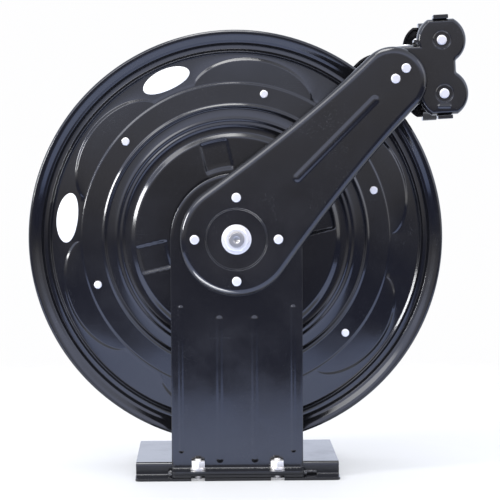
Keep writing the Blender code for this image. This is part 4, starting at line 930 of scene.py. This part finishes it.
def build_hub(name, side):
    """Build a spool hub, the front one with rivets, and the bronze bush that runs on the shaft."""
    low, seat = DISC_FACE, DISC_FACE + 5.3 * MM
    collar_end = PEDESTAL_BACK - 4.3 * MM
    bore, collar, flange = 18.2 * MM, 30 * MM, 50 * MM
    top = seat + 5 * MM
    cone = [(34 * MM, top), (collar, seat + 9 * MM)] if side > 0 else [(collar, top)]
    profile = [(bore, low), (31.7 * MM, low), (31.7 * MM, seat), (flange, seat), (flange, top), *cone,
               (collar, collar_end), (bore, collar_end)]
    bm = turned_mesh(rounded_profile(profile, 1.0 * MM), 96)
    if side > 0:
        foot = seat + 4.9 * MM
        dome = [(0, foot)] + [(3.6 * MM * cos, foot + 0.9 * MM * sin)
                              for cos, sin in arc((0, 0), 1, 0, QUARTER * 5 / 6, 5)] + [(0, foot + 0.9 * MM)]
        for i in range(6):
            x, y = polar(42 * MM, math.radians(30) + math.tau * i / 6)
            add_turned(bm, dome, 20, matrix=Matrix.Translation((x, y, 0)))
    make_piece(f"{name}_hub_turning", bm, "powder_coat", "spool", stand(side), [f"{name}_hub"], sharp=50)
    bore, outer, collar = 12.7 * MM, 17.9 * MM, 22.9 * MM
    end = PEDESTAL_BACK - 0.6 * MM
    profile = [(bore, low), (outer, low), (outer, collar_end + GAP), (collar, collar_end + GAP), (collar, end),
               (bore, end)]
    turned(f"{name}_bush_turning", profile, 72, "bronze", "spool", stand(side), f"{name}_bush", ease=0.5 * MM)


# Fasteners

def build_bolt(node, body, side, x, z, head_at, nut_at, across=9.4 * MM, head=4.2 * MM, shank=3 * MM):
    """Build a hexagon bolt with a washer face, its shank, its nut and the thread's end."""
    bm = bmesh.new()
    turn = Matrix.Rotation(noise.noise(Vector((x * 90, z * 90, side * 3.1))) * 2, 4, "Z")
    add_mesh(bm, hex_mesh(across, head, across * 0.56, 0.5 * MM), lift(head_at) @ turn)
    add_turned(bm, sleeve(0, shank, nut_at, head_at), 20)
    flip = lift(nut_at) @ Matrix.Rotation(math.pi, 4, "X")
    add_mesh(bm, hex_mesh(across, 4 * MM, bore=shank * 0.98), flip @ turn)
    add_mesh(bm, thread_mesh(shank * 0.97, 0, 3.9 * MM, 1.0 * MM), flip)
    make_piece(f"{node}_fine", bm, "zinc_plate", body, stand(side, 0, x, z), [node], sharp=38)


def build_frame_bolts(sizes):
    """Build the bolts round each arm's hub and at each arm's end."""
    head_at = ARM_FACE + 0.1 * MM
    for name, side in SIDES:
        for i, (x, y) in enumerate(mirrored(hub_bolt_places(), side), 1):
            build_bolt(f"{name}_hub_bolt_{i}", "stand", side, x, HUB.z + y, head_at, PEDESTAL_BACK - GAP)
        for i, (x, y) in enumerate(arm_bolt_places(sizes), 1):
            build_bolt(f"{name}_arm_bolt_{i}", "stand", side, x, HUB.z + y, head_at, GUIDE_FACE - 2.8 * MM)


def build_spool_bolts(sizes):
    """Build the long bolts that clamp the discs on the drum."""
    end = DISC_FACE + 0.1 * MM
    for i in range(6):
        x, y = polar(sizes.bolt_circle, math.radians(18.6) + math.tau * i / 6)
        build_bolt(f"spool_bolt_{i + 1}", "spool", 1, x, HUB.z + y, end, -end,
                   across=8 * MM, head=3.6 * MM, shank=2.5 * MM)


def build_foot_stud(node, sizes):
    """Build a foot stud with its head, its thread and its flanged nut."""
    low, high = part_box(node)
    x, y = (low.x + high.x) / 2, (low.y + high.y) / 2
    seat = FLOOR + sizes.base_sheet + sizes.foot_thickness + 0.4 * MM
    head = low.z + 4.2 * MM
    bm = bmesh.new()
    add_turned(bm, sleeve(0, 6.9 * MM, low.z, head), 48, 0.7 * MM)
    add_turned(bm, sleeve(0, 3.9 * MM, head, seat), 32)
    turn = Matrix.Rotation(noise.noise(Vector((x * 90, y * 90, 1))) * 0.3, 4, "Z")
    add_mesh(bm, hex_mesh(14.4 * MM, 10.4 * MM, 8.6 * MM, 2.2 * MM, bore=4 * MM),
             lift(seat) @ turn)
    add_mesh(bm, thread_mesh(4 * MM, seat, high.z - 2.6 * MM, 1.25 * MM))
    make_piece(f"{node}_fine", bm, "zinc_plate", "stand", Matrix.Translation((x, y, 0)), [node], sharp=38)


# Shaft

def build_shaft():
    """Build the fixed shaft, bored from its rear end, and the nuts that hold it."""
    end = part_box("main_shaft")[1].y
    shoulder = PEDESTAL_BACK - GAP
    journal, stub, bore = 12.5 * MM, 8.5 * MM, 4.5 * MM
    profile = [(0, end - 2.6 * MM), (1.2 * MM, end - 2.6 * MM), (3.8 * MM, end), (stub, end), (stub, shoulder),
               (journal, shoulder), (journal, -shoulder), (stub, -shoulder), (stub, -end), (bore, -end),
               (bore, 20 * MM - end), (0, 20 * MM - end)]
    bm = turned_mesh(rounded_profile(profile, 0.7 * MM), 64)
    make_piece("shaft_turning", bm, "ground_steel", "stand", stand(1), ["main_shaft"], sharp=50)
    seat = ARM_FACE - 2 * MM + GAP
    nut = seat + 1.8 * MM
    for name, side in SIDES:
        bm = bmesh.new()
        add_turned(bm, sleeve(9 * MM, 17 * MM, seat, nut), 64, 0.35 * MM)
        add_mesh(bm, hex_mesh(26 * MM, 5.2 * MM, bore=8.6 * MM, steps=72),
                 lift(nut) @ Matrix.Rotation(0.35, 4, "Z"))
        make_piece(f"{name}_hub_nut_fine", bm, "zinc_plate", "stand", stand(side), [f"{name}_hub_nut"], sharp=38)


# Roller guide

def guide_point(x, y):
    """Turn a place in the side plate's own frame into a place round the spool's axis."""
    upper, lower = JOINTS["upper_roller_turn"] - HUB, JOINTS["lower_roller_turn"] - HUB
    centre = (upper + lower) / 2
    lean = math.atan2(upper.z - lower.z, upper.x - lower.x) - QUARTER
    return (centre.x + x * math.cos(lean) - y * math.sin(lean),
            centre.z + x * math.sin(lean) + y * math.cos(lean))


def guide_reach():
    """Return how far the guide's middle lies from the upper and lower rollers' axes."""
    return (JOINTS["upper_roller_turn"] - JOINTS["lower_roller_turn"]).length / 2


def guide_outline(sizes, inset):
    """Return the dog-bone outline: two round lobes with flat ends, a narrow waist and a lug on the left."""
    reach = guide_reach()
    full, waist, fillet = sizes.lobe_radius, 15.3 * MM, 3 * MM
    lobe, lug = full - inset, 26 * MM - inset
    fillet_x = waist + fillet
    drop = math.sqrt((full + fillet) ** 2 - fillet_x ** 2)
    turn = math.atan2(drop, fillet_x)
    fillet_y = reach - drop
    end = math.asin((24 * MM - inset) / lobe)
    foot = math.acos(-math.sqrt(lobe ** 2 - (reach - lug) ** 2) / lobe)
    points = arc((0, reach), lobe, -turn, end, 40)
    points += arc((0, reach), lobe, math.pi - end, math.tau - foot, 30)
    points += arc((-48 * MM, 0), lug, QUARTER, 3 * QUARTER, 32)
    points += arc((0, -reach), lobe, foot, math.pi + end, 30)
    points += arc((0, -reach), lobe, math.tau - end, math.tau + turn, 40)
    points += arc((fillet_x, -fillet_y), fillet + inset, math.pi + turn, math.pi, 10)[1:]
    points += arc((fillet_x, fillet_y), fillet + inset, math.pi, math.pi - turn, 10)[:-1]
    return [guide_point(x, y) for x, y in points]


def build_guide_plate(name, side, sizes):
    """Build a side plate of the roller guide with its dished seats and the pressed bar under the lower one."""
    bm = bmesh.new()
    loops = [roll_edge(bm, lambda inset: mirrored(guide_outline(sizes, inset), side), 9 * MM, 4.2 * MM, 9)]
    for joint in ("upper_roller_turn", "lower_roller_turn"):
        place = JOINTS[joint] - HUB
        centre = (side * place.x, place.z)
        loops.append(press(bm, lambda inset, c=centre: circle(11 * MM - inset, 56, c), 2.2 * MM, -1.1 * MM,
                           holes=[circle(4.9 * MM, 24, centre)]))
    x, z, half = centre[0], centre[1] - 14.6 * MM, 5.6 * MM
    loops.append(press(bm, rib((x - half, z), (x + half, z), 6 * MM), 2.8 * MM, 1.4 * MM))
    fill_flat(bm, loops)
    make_pressing(f"{name}_guide_pressing", bm, ARM_SHEET, stand(side, GUIDE_FACE), f"{name}_guide_plate")
    build_roller_tabs(name, side)


def build_roller_tabs(name, side):
    """Build the two tabs that hold an upright roller's pin."""
    roller = JOINTS[f"{name}_upright_roller_turn"]
    low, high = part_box(f"{name}_upright_roller")
    thickness, clearance, radius, reach = 3 * MM, 0.6 * MM, 7 * MM, 17.5 * MM
    outline = [(-radius, reach), (radius, reach)] + arc((0, 0), radius, 0, -math.pi, 20)
    bm = bmesh.new()
    for level in (low.z - clearance - thickness, high.z + clearance):
        rings = [add_ring(bm, outline, z) for z in (level, level + thickness)]
        hole = [add_ring(bm, circle(4.2 * MM, 24), z) for z in (level, level + thickness)]
        join_rings(bm, rings)
        join_rings(bm, hole)
        for ring, inner in zip(rings, hole):
            fill_flat(bm, [ring, inner])
    matrix = Matrix.Translation((roller.x, roller.y, 0)) @ Matrix.Diagonal((1, -side, 1, 1))
    soften(make_piece(f"{name}_roller_tabs", bm, "powder_coat", "stand", matrix), 0.4 * MM)


def roller_profile(radius, bore, half):
    """Return a moulded roller's profile: recessed ends and a fine witness ring in the middle."""
    lip = 0.25 * radius
    end = [(bore, 1.2 * MM), (bore + 1.6 * MM, 1.2 * MM), (bore + 2.2 * MM, 0), (radius - lip, 0), (radius, lip)]
    profile = [(r, z - half) for r, z in end]
    profile += [(radius, -0.5 * MM), (radius - 0.25 * MM, 0), (radius, 0.5 * MM)]
    return profile + [(r, half - z) for r, z in end[::-1]]


def build_roller(name, upright=False):
    """Build a roller of the guide with the pin that it turns on."""
    low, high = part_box(name)
    middle = (low + high) / 2
    size, pin = high - low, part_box(f"{name}_pin")[1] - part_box(f"{name}_pin")[0]
    if upright:
        matrix, half, radius, reach, head = Matrix.Translation(middle), size.z / 2, 9 * MM, pin.z / 2, 2 * MM
    else:
        matrix, half, radius = stand(1, -middle.y, middle.x, middle.z), size.y / 2, 12.5 * MM
        reach, head = pin.y / 2, 4 * MM
    turned(f"{name}_moulding", roller_profile(radius, 4.3 * MM, half), 64, "nylon", name, matrix, name,
           ease=0.8 * MM)
    bm = bmesh.new()
    end = reach - head
    shank = 4 * MM
    if upright:
        rivet = [(shank, end), (5.8 * MM, end), (5.8 * MM, reach - head / 2), (3.4 * MM, reach), (0, reach)]
        add_turned(bm, [(r, -z) for r, z in rivet[::-1]] + rivet, 32, 0.5 * MM)
    else:
        add_turned(bm, sleeve(0, shank, -end, end), 32)
        for flip in (0, math.pi):
            place = Matrix.Rotation(flip, 4, "X") @ lift(end)
            add_mesh(bm, hex_mesh(9.6 * MM, head - 0.1 * MM, 5.6 * MM, 0.7 * MM),
                     place @ Matrix.Rotation(0.3 + flip, 4, "Z"))
    make_piece(f"{name}_pin_fine", bm, "zinc_plate", "stand", matrix, [f"{name}_pin"], sharp=38)


def build_tie_bar(name, node, up):
    """Build a bar that ties the side plates: its ends seat on the lobes' flats, its middle is cranked in."""
    seat, middle, thickness = guide_reach() + 24.3 * MM, guide_reach() + 14.6 * MM, 4.5 * MM
    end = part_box(node)[1].y
    profile = [(seat, end), (seat, end - 14 * MM), (middle, end - 22 * MM)]
    profile += [(level, -out) for level, out in profile[::-1]]
    line = profile + [(level + thickness, out) for level, out in profile[::-1]]
    bm = bmesh.new()
    rings = []
    for x in (-8.5 * MM, 8.5 * MM):
        rings.append([bm.verts.new((*guide_point(x, up * level), out)) for level, out in line])
    join_closed(bm, rings)
    bends = [edge for edge in bm.edges if {vertex in rings[0] for vertex in edge.verts} == {True, False}
             and abs(edge.verts[0].co.z) < end - 1 * MM]
    bmesh.ops.bevel(bm, geom=bends, offset=3 * MM, segments=4, profile=0.5, affect="EDGES")
    soften(make_piece(name, bm, "powder_coat", "stand", stand(1), [node], sharp=35), 0.8 * MM)


# Ratchet

def build_flat_part(node, body):
    """Build a flat part again from its frame node's outline, with eased edges."""
    bm = bmesh.new()
    bm.from_mesh(frame["nodes"][node].data)
    bmesh.ops.remove_doubles(bm, verts=bm.verts, dist=1e-6)
    bmesh.ops.dissolve_limit(bm, angle_limit=math.radians(3), verts=bm.verts, edges=bm.edges)
    soften(make_piece(f"{node}_fine", bm, "zinc_plate", body, replaces=[node]), 0.5 * MM)


def build_ratchet():
    """Build the ratchet wheel, the pawl, its pin and its spring."""
    build_flat_part("ratchet_wheel", "spool")
    build_flat_part("pawl", "pawl")
    pivot = JOINTS["pawl_swing"]
    place = stand(-1, 0, pivot.x, pivot.z)
    low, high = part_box("pawl_pin")
    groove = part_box("pawl")[0].y - GAP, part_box("pawl")[1].y + GAP
    shank, collar = 4 * MM, 5.4 * MM
    profile = [(0, low.y), (collar, low.y), (collar, groove[0]), (shank, groove[0]), (shank, groove[1]),
               (collar, groove[1]), (collar, high.y), (0, high.y)]
    turned("pawl_pin_fine", profile, 40, "zinc_plate", "stand", place, "pawl_pin", ease=GAP)
    low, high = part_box("pawl_spring")
    radius, wire, turns = 6.65 * MM, 0.6 * MM, 6
    flat, gap = 0.12, 1.4 * MM  # share of the wire in each end coil, and how far that coil climbs twice over
    path = []
    for i in range(241):
        t = i / 240
        rise = min(1.0, max(0.0, (t - flat) / (1 - 2 * flat)))
        coils = min(1.0, t / flat) + max(0.0, (t - (1 - flat)) / flat)
        height = low.y + 0.9 * MM + (high.y - low.y - 3.2 * MM) * rise + gap / 2 * coils
        path.append((*polar(radius, math.tau * turns * t), height))
    bm = tube_mesh(path, [wire] * len(path), 10)
    make_piece("pawl_spring_fine", bm, "spring_steel", "stand", place, ["pawl_spring"], sharp=80)


# Water fittings

def build_water_fittings():
    """Build the swivel housing, the outlet pipe through the drum and the inlet elbow."""
    low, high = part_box("swivel_housing")
    middle = (low.y + high.y) / 2
    ring, waist = 28 * MM, 26.5 * MM
    end = [(12.8 * MM, 0), (25 * MM, 0), (ring, 3 * MM), (ring, 10 * MM), (waist, 11.5 * MM)]
    profile = [(r, low.y + z) for r, z in end] + [(r, high.y - z) for r, z in end[::-1]]
    turned("swivel_turning", profile, 72, "brass", "spool", stand(-1), "swivel_housing")
    radial = Matrix.Rotation(math.radians(120), 4, "Z") @ Matrix.Rotation(QUARTER, 4, "Y")
    matrix = stand(1) @ lift(-middle) @ radial
    bm = bmesh.new()
    start, drum = 28.3 * MM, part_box("drum_core")[1].x
    bore, pipe, flange, nipple = 4.5 * MM, 7.8 * MM, 10.9 * MM, 7.4 * MM
    profile = [(bore, start), (pipe, start)]
    profile += [(radius, drum + level * MM) for radius, level in (
        (pipe, 0.6), (flange, 0.6), (flange, 1.8), (nipple, 1.8), (nipple, 6.8), (bore, 6.8))]
    add_turned(bm, profile, 48, GAP)
    add_mesh(bm, hex_mesh(18 * MM, 4.8 * MM, bore=nipple), lift(drum + 1.9 * MM))
    add_mesh(bm, thread_mesh(7.9 * MM, drum + 6.5 * MM, drum + 13.8 * MM, 1.3 * MM, 40))
    make_piece("outlet_fitting", bm, "brass", "spool", matrix, ["outlet_pipe"])
    build_elbow()


def build_elbow():
    """Build the inlet elbow: a hexagon collar, a quarter bend and a threaded inlet."""
    low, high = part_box("inlet_elbow")
    start, length = low.y, HUB.z - low.z
    bend, radius = 16 * MM, 9.6 * MM
    turn_at = high.y - 11 * MM - bend
    straight, leg = turn_at - start - 5 * MM, length - bend - 8 * MM
    path = [(0, 0, start + 5 * MM + straight * i / 4) for i in range(5)]
    path += [(0, y, z) for y, z in arc((-bend, turn_at), bend, 0, QUARTER, 16)[1:]]
    path += [(0, -bend - leg * i / 4, turn_at + bend) for i in range(1, 5)]
    bm = bmesh.new()
    add_mesh(bm, tube_mesh(path, [radius] * len(path), 40))
    add_mesh(bm, hex_mesh(21.5 * MM, 7.6 * MM, bore=8.9 * MM, steps=60), lift(start))
    drop = lift(turn_at + bend) @ Matrix.Rotation(QUARTER, 4, "X")
    add_turned(bm, sleeve(5 * MM, 10.9 * MM, bend - 1 * MM, bend + 5 * MM), 48, 0.8 * MM, drop)
    add_turned(bm, sleeve(4.4 * MM, 6.6 * MM, length - 6 * MM, length), 40, GAP, drop)
    add_mesh(bm, thread_mesh(9.9 * MM, bend + 4.8 * MM, length - 0.2 * MM, 1.8 * MM, 48, 0.9 * MM), drop)
    make_piece("inlet_elbow_fine", bm, "brass", "stand", stand(-1), ["inlet_elbow"])


# Stage

def look_from(stage):
    """Make the camera at the photograph's place."""
    camera = add_object("reel_camera", bpy.data.cameras.new("reel_camera"))
    camera.data.lens = stage.lens
    camera.data.sensor_width = 36
    camera.data.clip_end = 100
    place = Vector((stage.camera_side, -PEDESTAL_FACE - stage.camera_distance, HUB.z + stage.camera_rise))
    aim = Matrix.Rotation(-stage.turn, 4, "Z") @ Matrix.Rotation(QUARTER - stage.dip, 4, "X")
    camera.matrix_world = Matrix.Translation(place) @ aim @ Matrix.Rotation(stage.roll, 4, "Z")
    bpy.context.scene.camera = camera


def add_lamp(name, place, aim, size, power, colour=(1, 1, 1)):
    """Add a soft lamp, size metres wide and high, that points at a place."""
    lamp = bpy.data.lights.new(name, "AREA")
    lamp.shape = "RECTANGLE"
    lamp.size, lamp.size_y = size
    lamp.energy = power
    lamp.color = colour
    item = add_object(name, lamp)
    item.location = place
    item.rotation_mode = "QUATERNION"
    item.rotation_quaternion = (Vector(aim) - Vector(place)).to_track_quat("-Z", "Y")
    item.visible_camera = False
    return item


def set_world():
    """Make a white studio: what gloss sees is bluish and dim low in front, and bright above and behind."""
    world = bpy.data.worlds.new("studio")
    bpy.context.scene.world = world
    world.use_nodes = True
    tree = world.node_tree
    tree.nodes.clear()
    ray = tree.nodes.new("ShaderNodeLightPath").outputs
    direction = tree.nodes.new("ShaderNodeSeparateXYZ")
    tree.links.new(tree.nodes.new("ShaderNodeTexCoord").outputs["Generated"], direction.inputs[0])
    around = (0.09, 0.10, 0.20)
    for axis, low, high, colour in (
        ("Z", -0.10, -0.03, (0.23, 0.225, 0.26)),
        ("Z", -0.03, 0.012, (0.54, 0.52, 0.53)),
        ("Z", 0.012, 0.06, (0.64, 0.63, 0.69)),
        ("Z", 0.06, 0.22, (0.95, 1.02, 1.28)),
        ("Z", 0.20, 0.29, (1.50, 1.62, 2.15)),
        ("Z", 0.45, 0.90, (0.95, 0.98, 1.10)),
        ("Y", -0.2, 0.1, (1.12, 1.20, 1.42)),
    ):
        around = mix_colour(tree, map_range(tree, direction.outputs[axis], low, high), around, colour)
    gloss = maths(tree, "MAXIMUM", ray["Is Glossy Ray"], ray["Is Transmission Ray"])
    lit = mix_colour(tree, gloss, (1.13, 1.15, 1.19), around)
    seen = mix_colour(tree, ray["Is Camera Ray"], lit, (0.99, 0.99, 0.995))
    background = add_node(tree, "Background", 0, {"Color": seen, "Strength": 1.0})
    tree.links.new(background, tree.nodes.new("ShaderNodeOutputWorld").inputs["Surface"])


def build_floor(stage):
    """Build the pale floor. It lets the white studio through, all the more away from the reel."""
    bm = bmesh.new()
    rings = [add_ring(bm, circle(radius, 96)) for radius in (0.01, 0.3, 0.6, 1.2, 2.0)]
    bm.faces.new(rings[0])
    join_rings(bm, rings)
    mesh = bpy.data.meshes.new("floor")
    bm.to_mesh(mesh)
    bm.free()
    material = bpy.data.materials.new("floor")
    material.use_nodes = True
    tree = material.node_tree
    place = tree.nodes.new("ShaderNodeTexCoord").outputs["Object"]
    cloud = noise_node(tree, place, 2.5, 3)
    reach = add_node(tree, "VectorMath", "Value", {0: place}, operation="LENGTH")
    colour = tuple(stage.floor)
    set_inputs(tree, tree.nodes["Principled BSDF"], {
        "Base Color": mix_colour(tree, cloud, colour, tuple(0.985 * channel for channel in colour)),
        "Roughness": map_range(tree, cloud, 0.3, 0.7, 0.42, 0.5),
        "Specular IOR Level": 0.15,
        "Alpha": map_range(tree, reach, 0.30, 1.2, 0.72, 0.0),
    })
    mesh.materials.append(material)
    floor = add_object("floor", mesh)
    floor.location.z = FLOOR - 0.1 * MM


def link_light(name, target, lamps, state):
    """Make lamps light a target only, or everything but the target."""
    collection = bpy.data.collections.new(name)
    collection.objects.link(bpy.data.objects[target])
    collection.collection_objects[0].light_linking.link_state = state
    for lamp in lamps:
        lamp.light_linking.receiver_collection = collection


def build_lamps():
    """Build the lamps. Two pass by the floor, which clips under them, and one lights the front arm alone."""
    overhead = add_lamp("overhead", (-0.2, -0.5, 2.2), (0, 0, 0.2), (0.9, 1.0), 25)
    add_lamp("left_strip", (-2.0, -0.9, 0.9), (0, 0, 0.25), (0.4, 0.7), 26)
    add_lamp("right_strip", (2.0, -0.7, 0.9), (0, 0, 0.25), (0.8, 1.6), 5)
    key = add_lamp("key", (-1.15, -1.35, 1.75), (0, 0, 0.27), (1.0, 1.0), 12)
    link_light("left_to_the_sky", "floor", (overhead, key), "EXCLUDE")
    arm_light = add_lamp("arm_light", (-0.16, -0.33, FLOOR + 3 * MM), (-0.1, -0.2, 1), (0.3, 0.2), 3.0)
    link_light("arm_light_receivers", "front_arm_pressing", (arm_light,), "INCLUDE")
    add_lamp("floor_panel", (0, -0.5, FLOOR + 2 * MM), (0, -0.5, 1), (1.8, 0.66), 5.4, (0.42, 0.55, 1.0))


# Operators

class BuildOperator:
    """What every build step shares: it works in object mode and can be undone."""

    bl_options = {"REGISTER", "UNDO"}


class REEL_OT_base(BuildOperator, bpy.types.Operator):
    """Build the base plate and its weld beads"""

    bl_idname = "reel.base"
    bl_label = "Base Plate"

    def execute(self, context):
        build_base(context.scene.reel_stand)
        build_welds(context.scene.reel_stand)
        return {"FINISHED"}


class REEL_OT_pedestals(BuildOperator, bpy.types.Operator):
    """Build the two pedestals"""

    bl_idname = "reel.pedestals"
    bl_label = "Pedestals"

    def execute(self, context):
        for name, side in SIDES:
            build_pedestal(name, side, context.scene.reel_stand)
        return {"FINISHED"}


class REEL_OT_arms(BuildOperator, bpy.types.Operator):
    """Build the two guide arms"""

    bl_idname = "reel.arms"
    bl_label = "Guide Arms"

    def execute(self, context):
        for name, side in SIDES:
            build_arm(name, side, context.scene.reel_arms, context.scene.reel_stand.rib_height)
        return {"FINISHED"}


class REEL_OT_spool(BuildOperator, bpy.types.Operator):
    """Build the discs, the drum, the hubs and the bushes"""

    bl_idname = "reel.spool"
    bl_label = "Spool"

    def execute(self, context):
        sizes = context.scene.reel_spool
        for name, side in SIDES:
            build_disc(name, side, sizes)
            build_hub(name, side)
        build_drum(sizes)
        for node in ("spring_case", "spring_cover", "power_spring"):
            dress_node(node, "spring_steel")
        dress_node("spring_arbor", "zinc_plate")
        return {"FINISHED"}


class REEL_OT_labels(BuildOperator, bpy.types.Operator):
    """Build the two bare oval labels on the front disc"""

    bl_idname = "reel.labels"
    bl_label = "Labels"

    def execute(self, context):
        for i, (angle, middle) in enumerate(((173, 196 * MM), (113.6, 198.8 * MM))):
            build_label(f"oval_label_{i + 1}", context.scene.reel_spool, math.radians(angle), middle)
        return {"FINISHED"}


class REEL_OT_fasteners(BuildOperator, bpy.types.Operator):
    """Build the bolts, the nuts and the foot studs"""

    bl_idname = "reel.fasteners"
    bl_label = "Fasteners"

    def execute(self, context):
        build_frame_bolts(context.scene.reel_arms)
        build_spool_bolts(context.scene.reel_spool)
        for i in range(1, 5):
            build_foot_stud(f"foot_stud_{i}", context.scene.reel_stand)
        return {"FINISHED"}


class REEL_OT_shaft(BuildOperator, bpy.types.Operator):
    """Build the shaft and its nuts"""

    bl_idname = "reel.shaft"
    bl_label = "Shaft"

    def execute(self, context):
        build_shaft()
        return {"FINISHED"}


class REEL_OT_roller_guide(BuildOperator, bpy.types.Operator):
    """Build the roller guide: side plates, rollers, pins and tie bars"""

    bl_idname = "reel.roller_guide"
    bl_label = "Roller Guide"

    def execute(self, context):
        for name, side in SIDES:
            build_guide_plate(name, side, context.scene.reel_arms)
            build_roller(f"{name}_upright_roller", upright=True)
        build_roller("upper_roller")
        build_roller("lower_roller")
        build_tie_bar("upper_tie_bar_fine", "roller_tie_bar", 1)
        build_tie_bar("lower_tie_bar_fine", "lower_tie_bar", -1)
        return {"FINISHED"}


class REEL_OT_ratchet(BuildOperator, bpy.types.Operator):
    """Build the ratchet wheel, the pawl, its pin and its spring"""

    bl_idname = "reel.ratchet"
    bl_label = "Ratchet"

    def execute(self, context):
        build_ratchet()
        return {"FINISHED"}


class REEL_OT_water_fittings(BuildOperator, bpy.types.Operator):
    """Build the swivel, the outlet and the inlet elbow"""

    bl_idname = "reel.water_fittings"
    bl_label = "Water Fittings"

    def execute(self, context):
        build_water_fittings()
        return {"FINISHED"}


class REEL_OT_stage(BuildOperator, bpy.types.Operator):
    """Set the floor, the lamps, the world and the camera"""

    bl_idname = "reel.stage"
    bl_label = "Stage"

    def execute(self, context):
        stage = context.scene.reel_stage
        build_floor(stage)
        set_world()
        build_lamps()
        look_from(stage)
        context.scene.view_settings.view_transform = "Standard"
        return {"FINISHED"}


class REEL_PT_panel(bpy.types.Panel):
    """Lists the settings and the build steps"""

    bl_label = "Hose Reel"
    bl_idname = "REEL_PT_panel"
    bl_space_type = "VIEW_3D"
    bl_region_type = "UI"
    bl_category = "Hose Reel"

    def draw(self, context):
        for name, _ in SETTINGS:
            group = getattr(context.scene, name)
            box = self.layout.box()
            for prop in group.__annotations__:
                box.prop(group, prop)
        for operator in OPERATORS:
            self.layout.operator(operator.bl_idname)


SETTINGS = (
    ("reel_stand", ReelStandSizes),
    ("reel_spool", ReelSpoolSizes),
    ("reel_arms", ReelArmSizes),
    ("reel_finishes", ReelFinishes),
    ("reel_stage", ReelStage),
)
OPERATORS = (
    REEL_OT_base,
    REEL_OT_pedestals,
    REEL_OT_arms,
    REEL_OT_spool,
    REEL_OT_labels,
    REEL_OT_fasteners,
    REEL_OT_shaft,
    REEL_OT_roller_guide,
    REEL_OT_ratchet,
    REEL_OT_water_fittings,
    REEL_OT_stage,
)


def register():
    """Register the settings, the operators and the panel."""
    for name, group in SETTINGS:
        bpy.utils.register_class(group)
        setattr(bpy.types.Scene, name, PointerProperty(type=group))
    for item in (*OPERATORS, REEL_PT_panel):
        bpy.utils.register_class(item)


def unregister():
    """Take the panel, the operators and the settings away again."""
    for item in (REEL_PT_panel, *reversed(OPERATORS)):
        bpy.utils.unregister_class(item)
    for name, group in reversed(SETTINGS):
        delattr(bpy.types.Scene, name)
        bpy.utils.unregister_class(group)


def main():
    """Build the whole reel."""
    register()
    for operator in OPERATORS:
        category, name = operator.bl_idname.split(".")
        getattr(getattr(bpy.ops, category), name)()


if __name__ == "__main__":
    main()
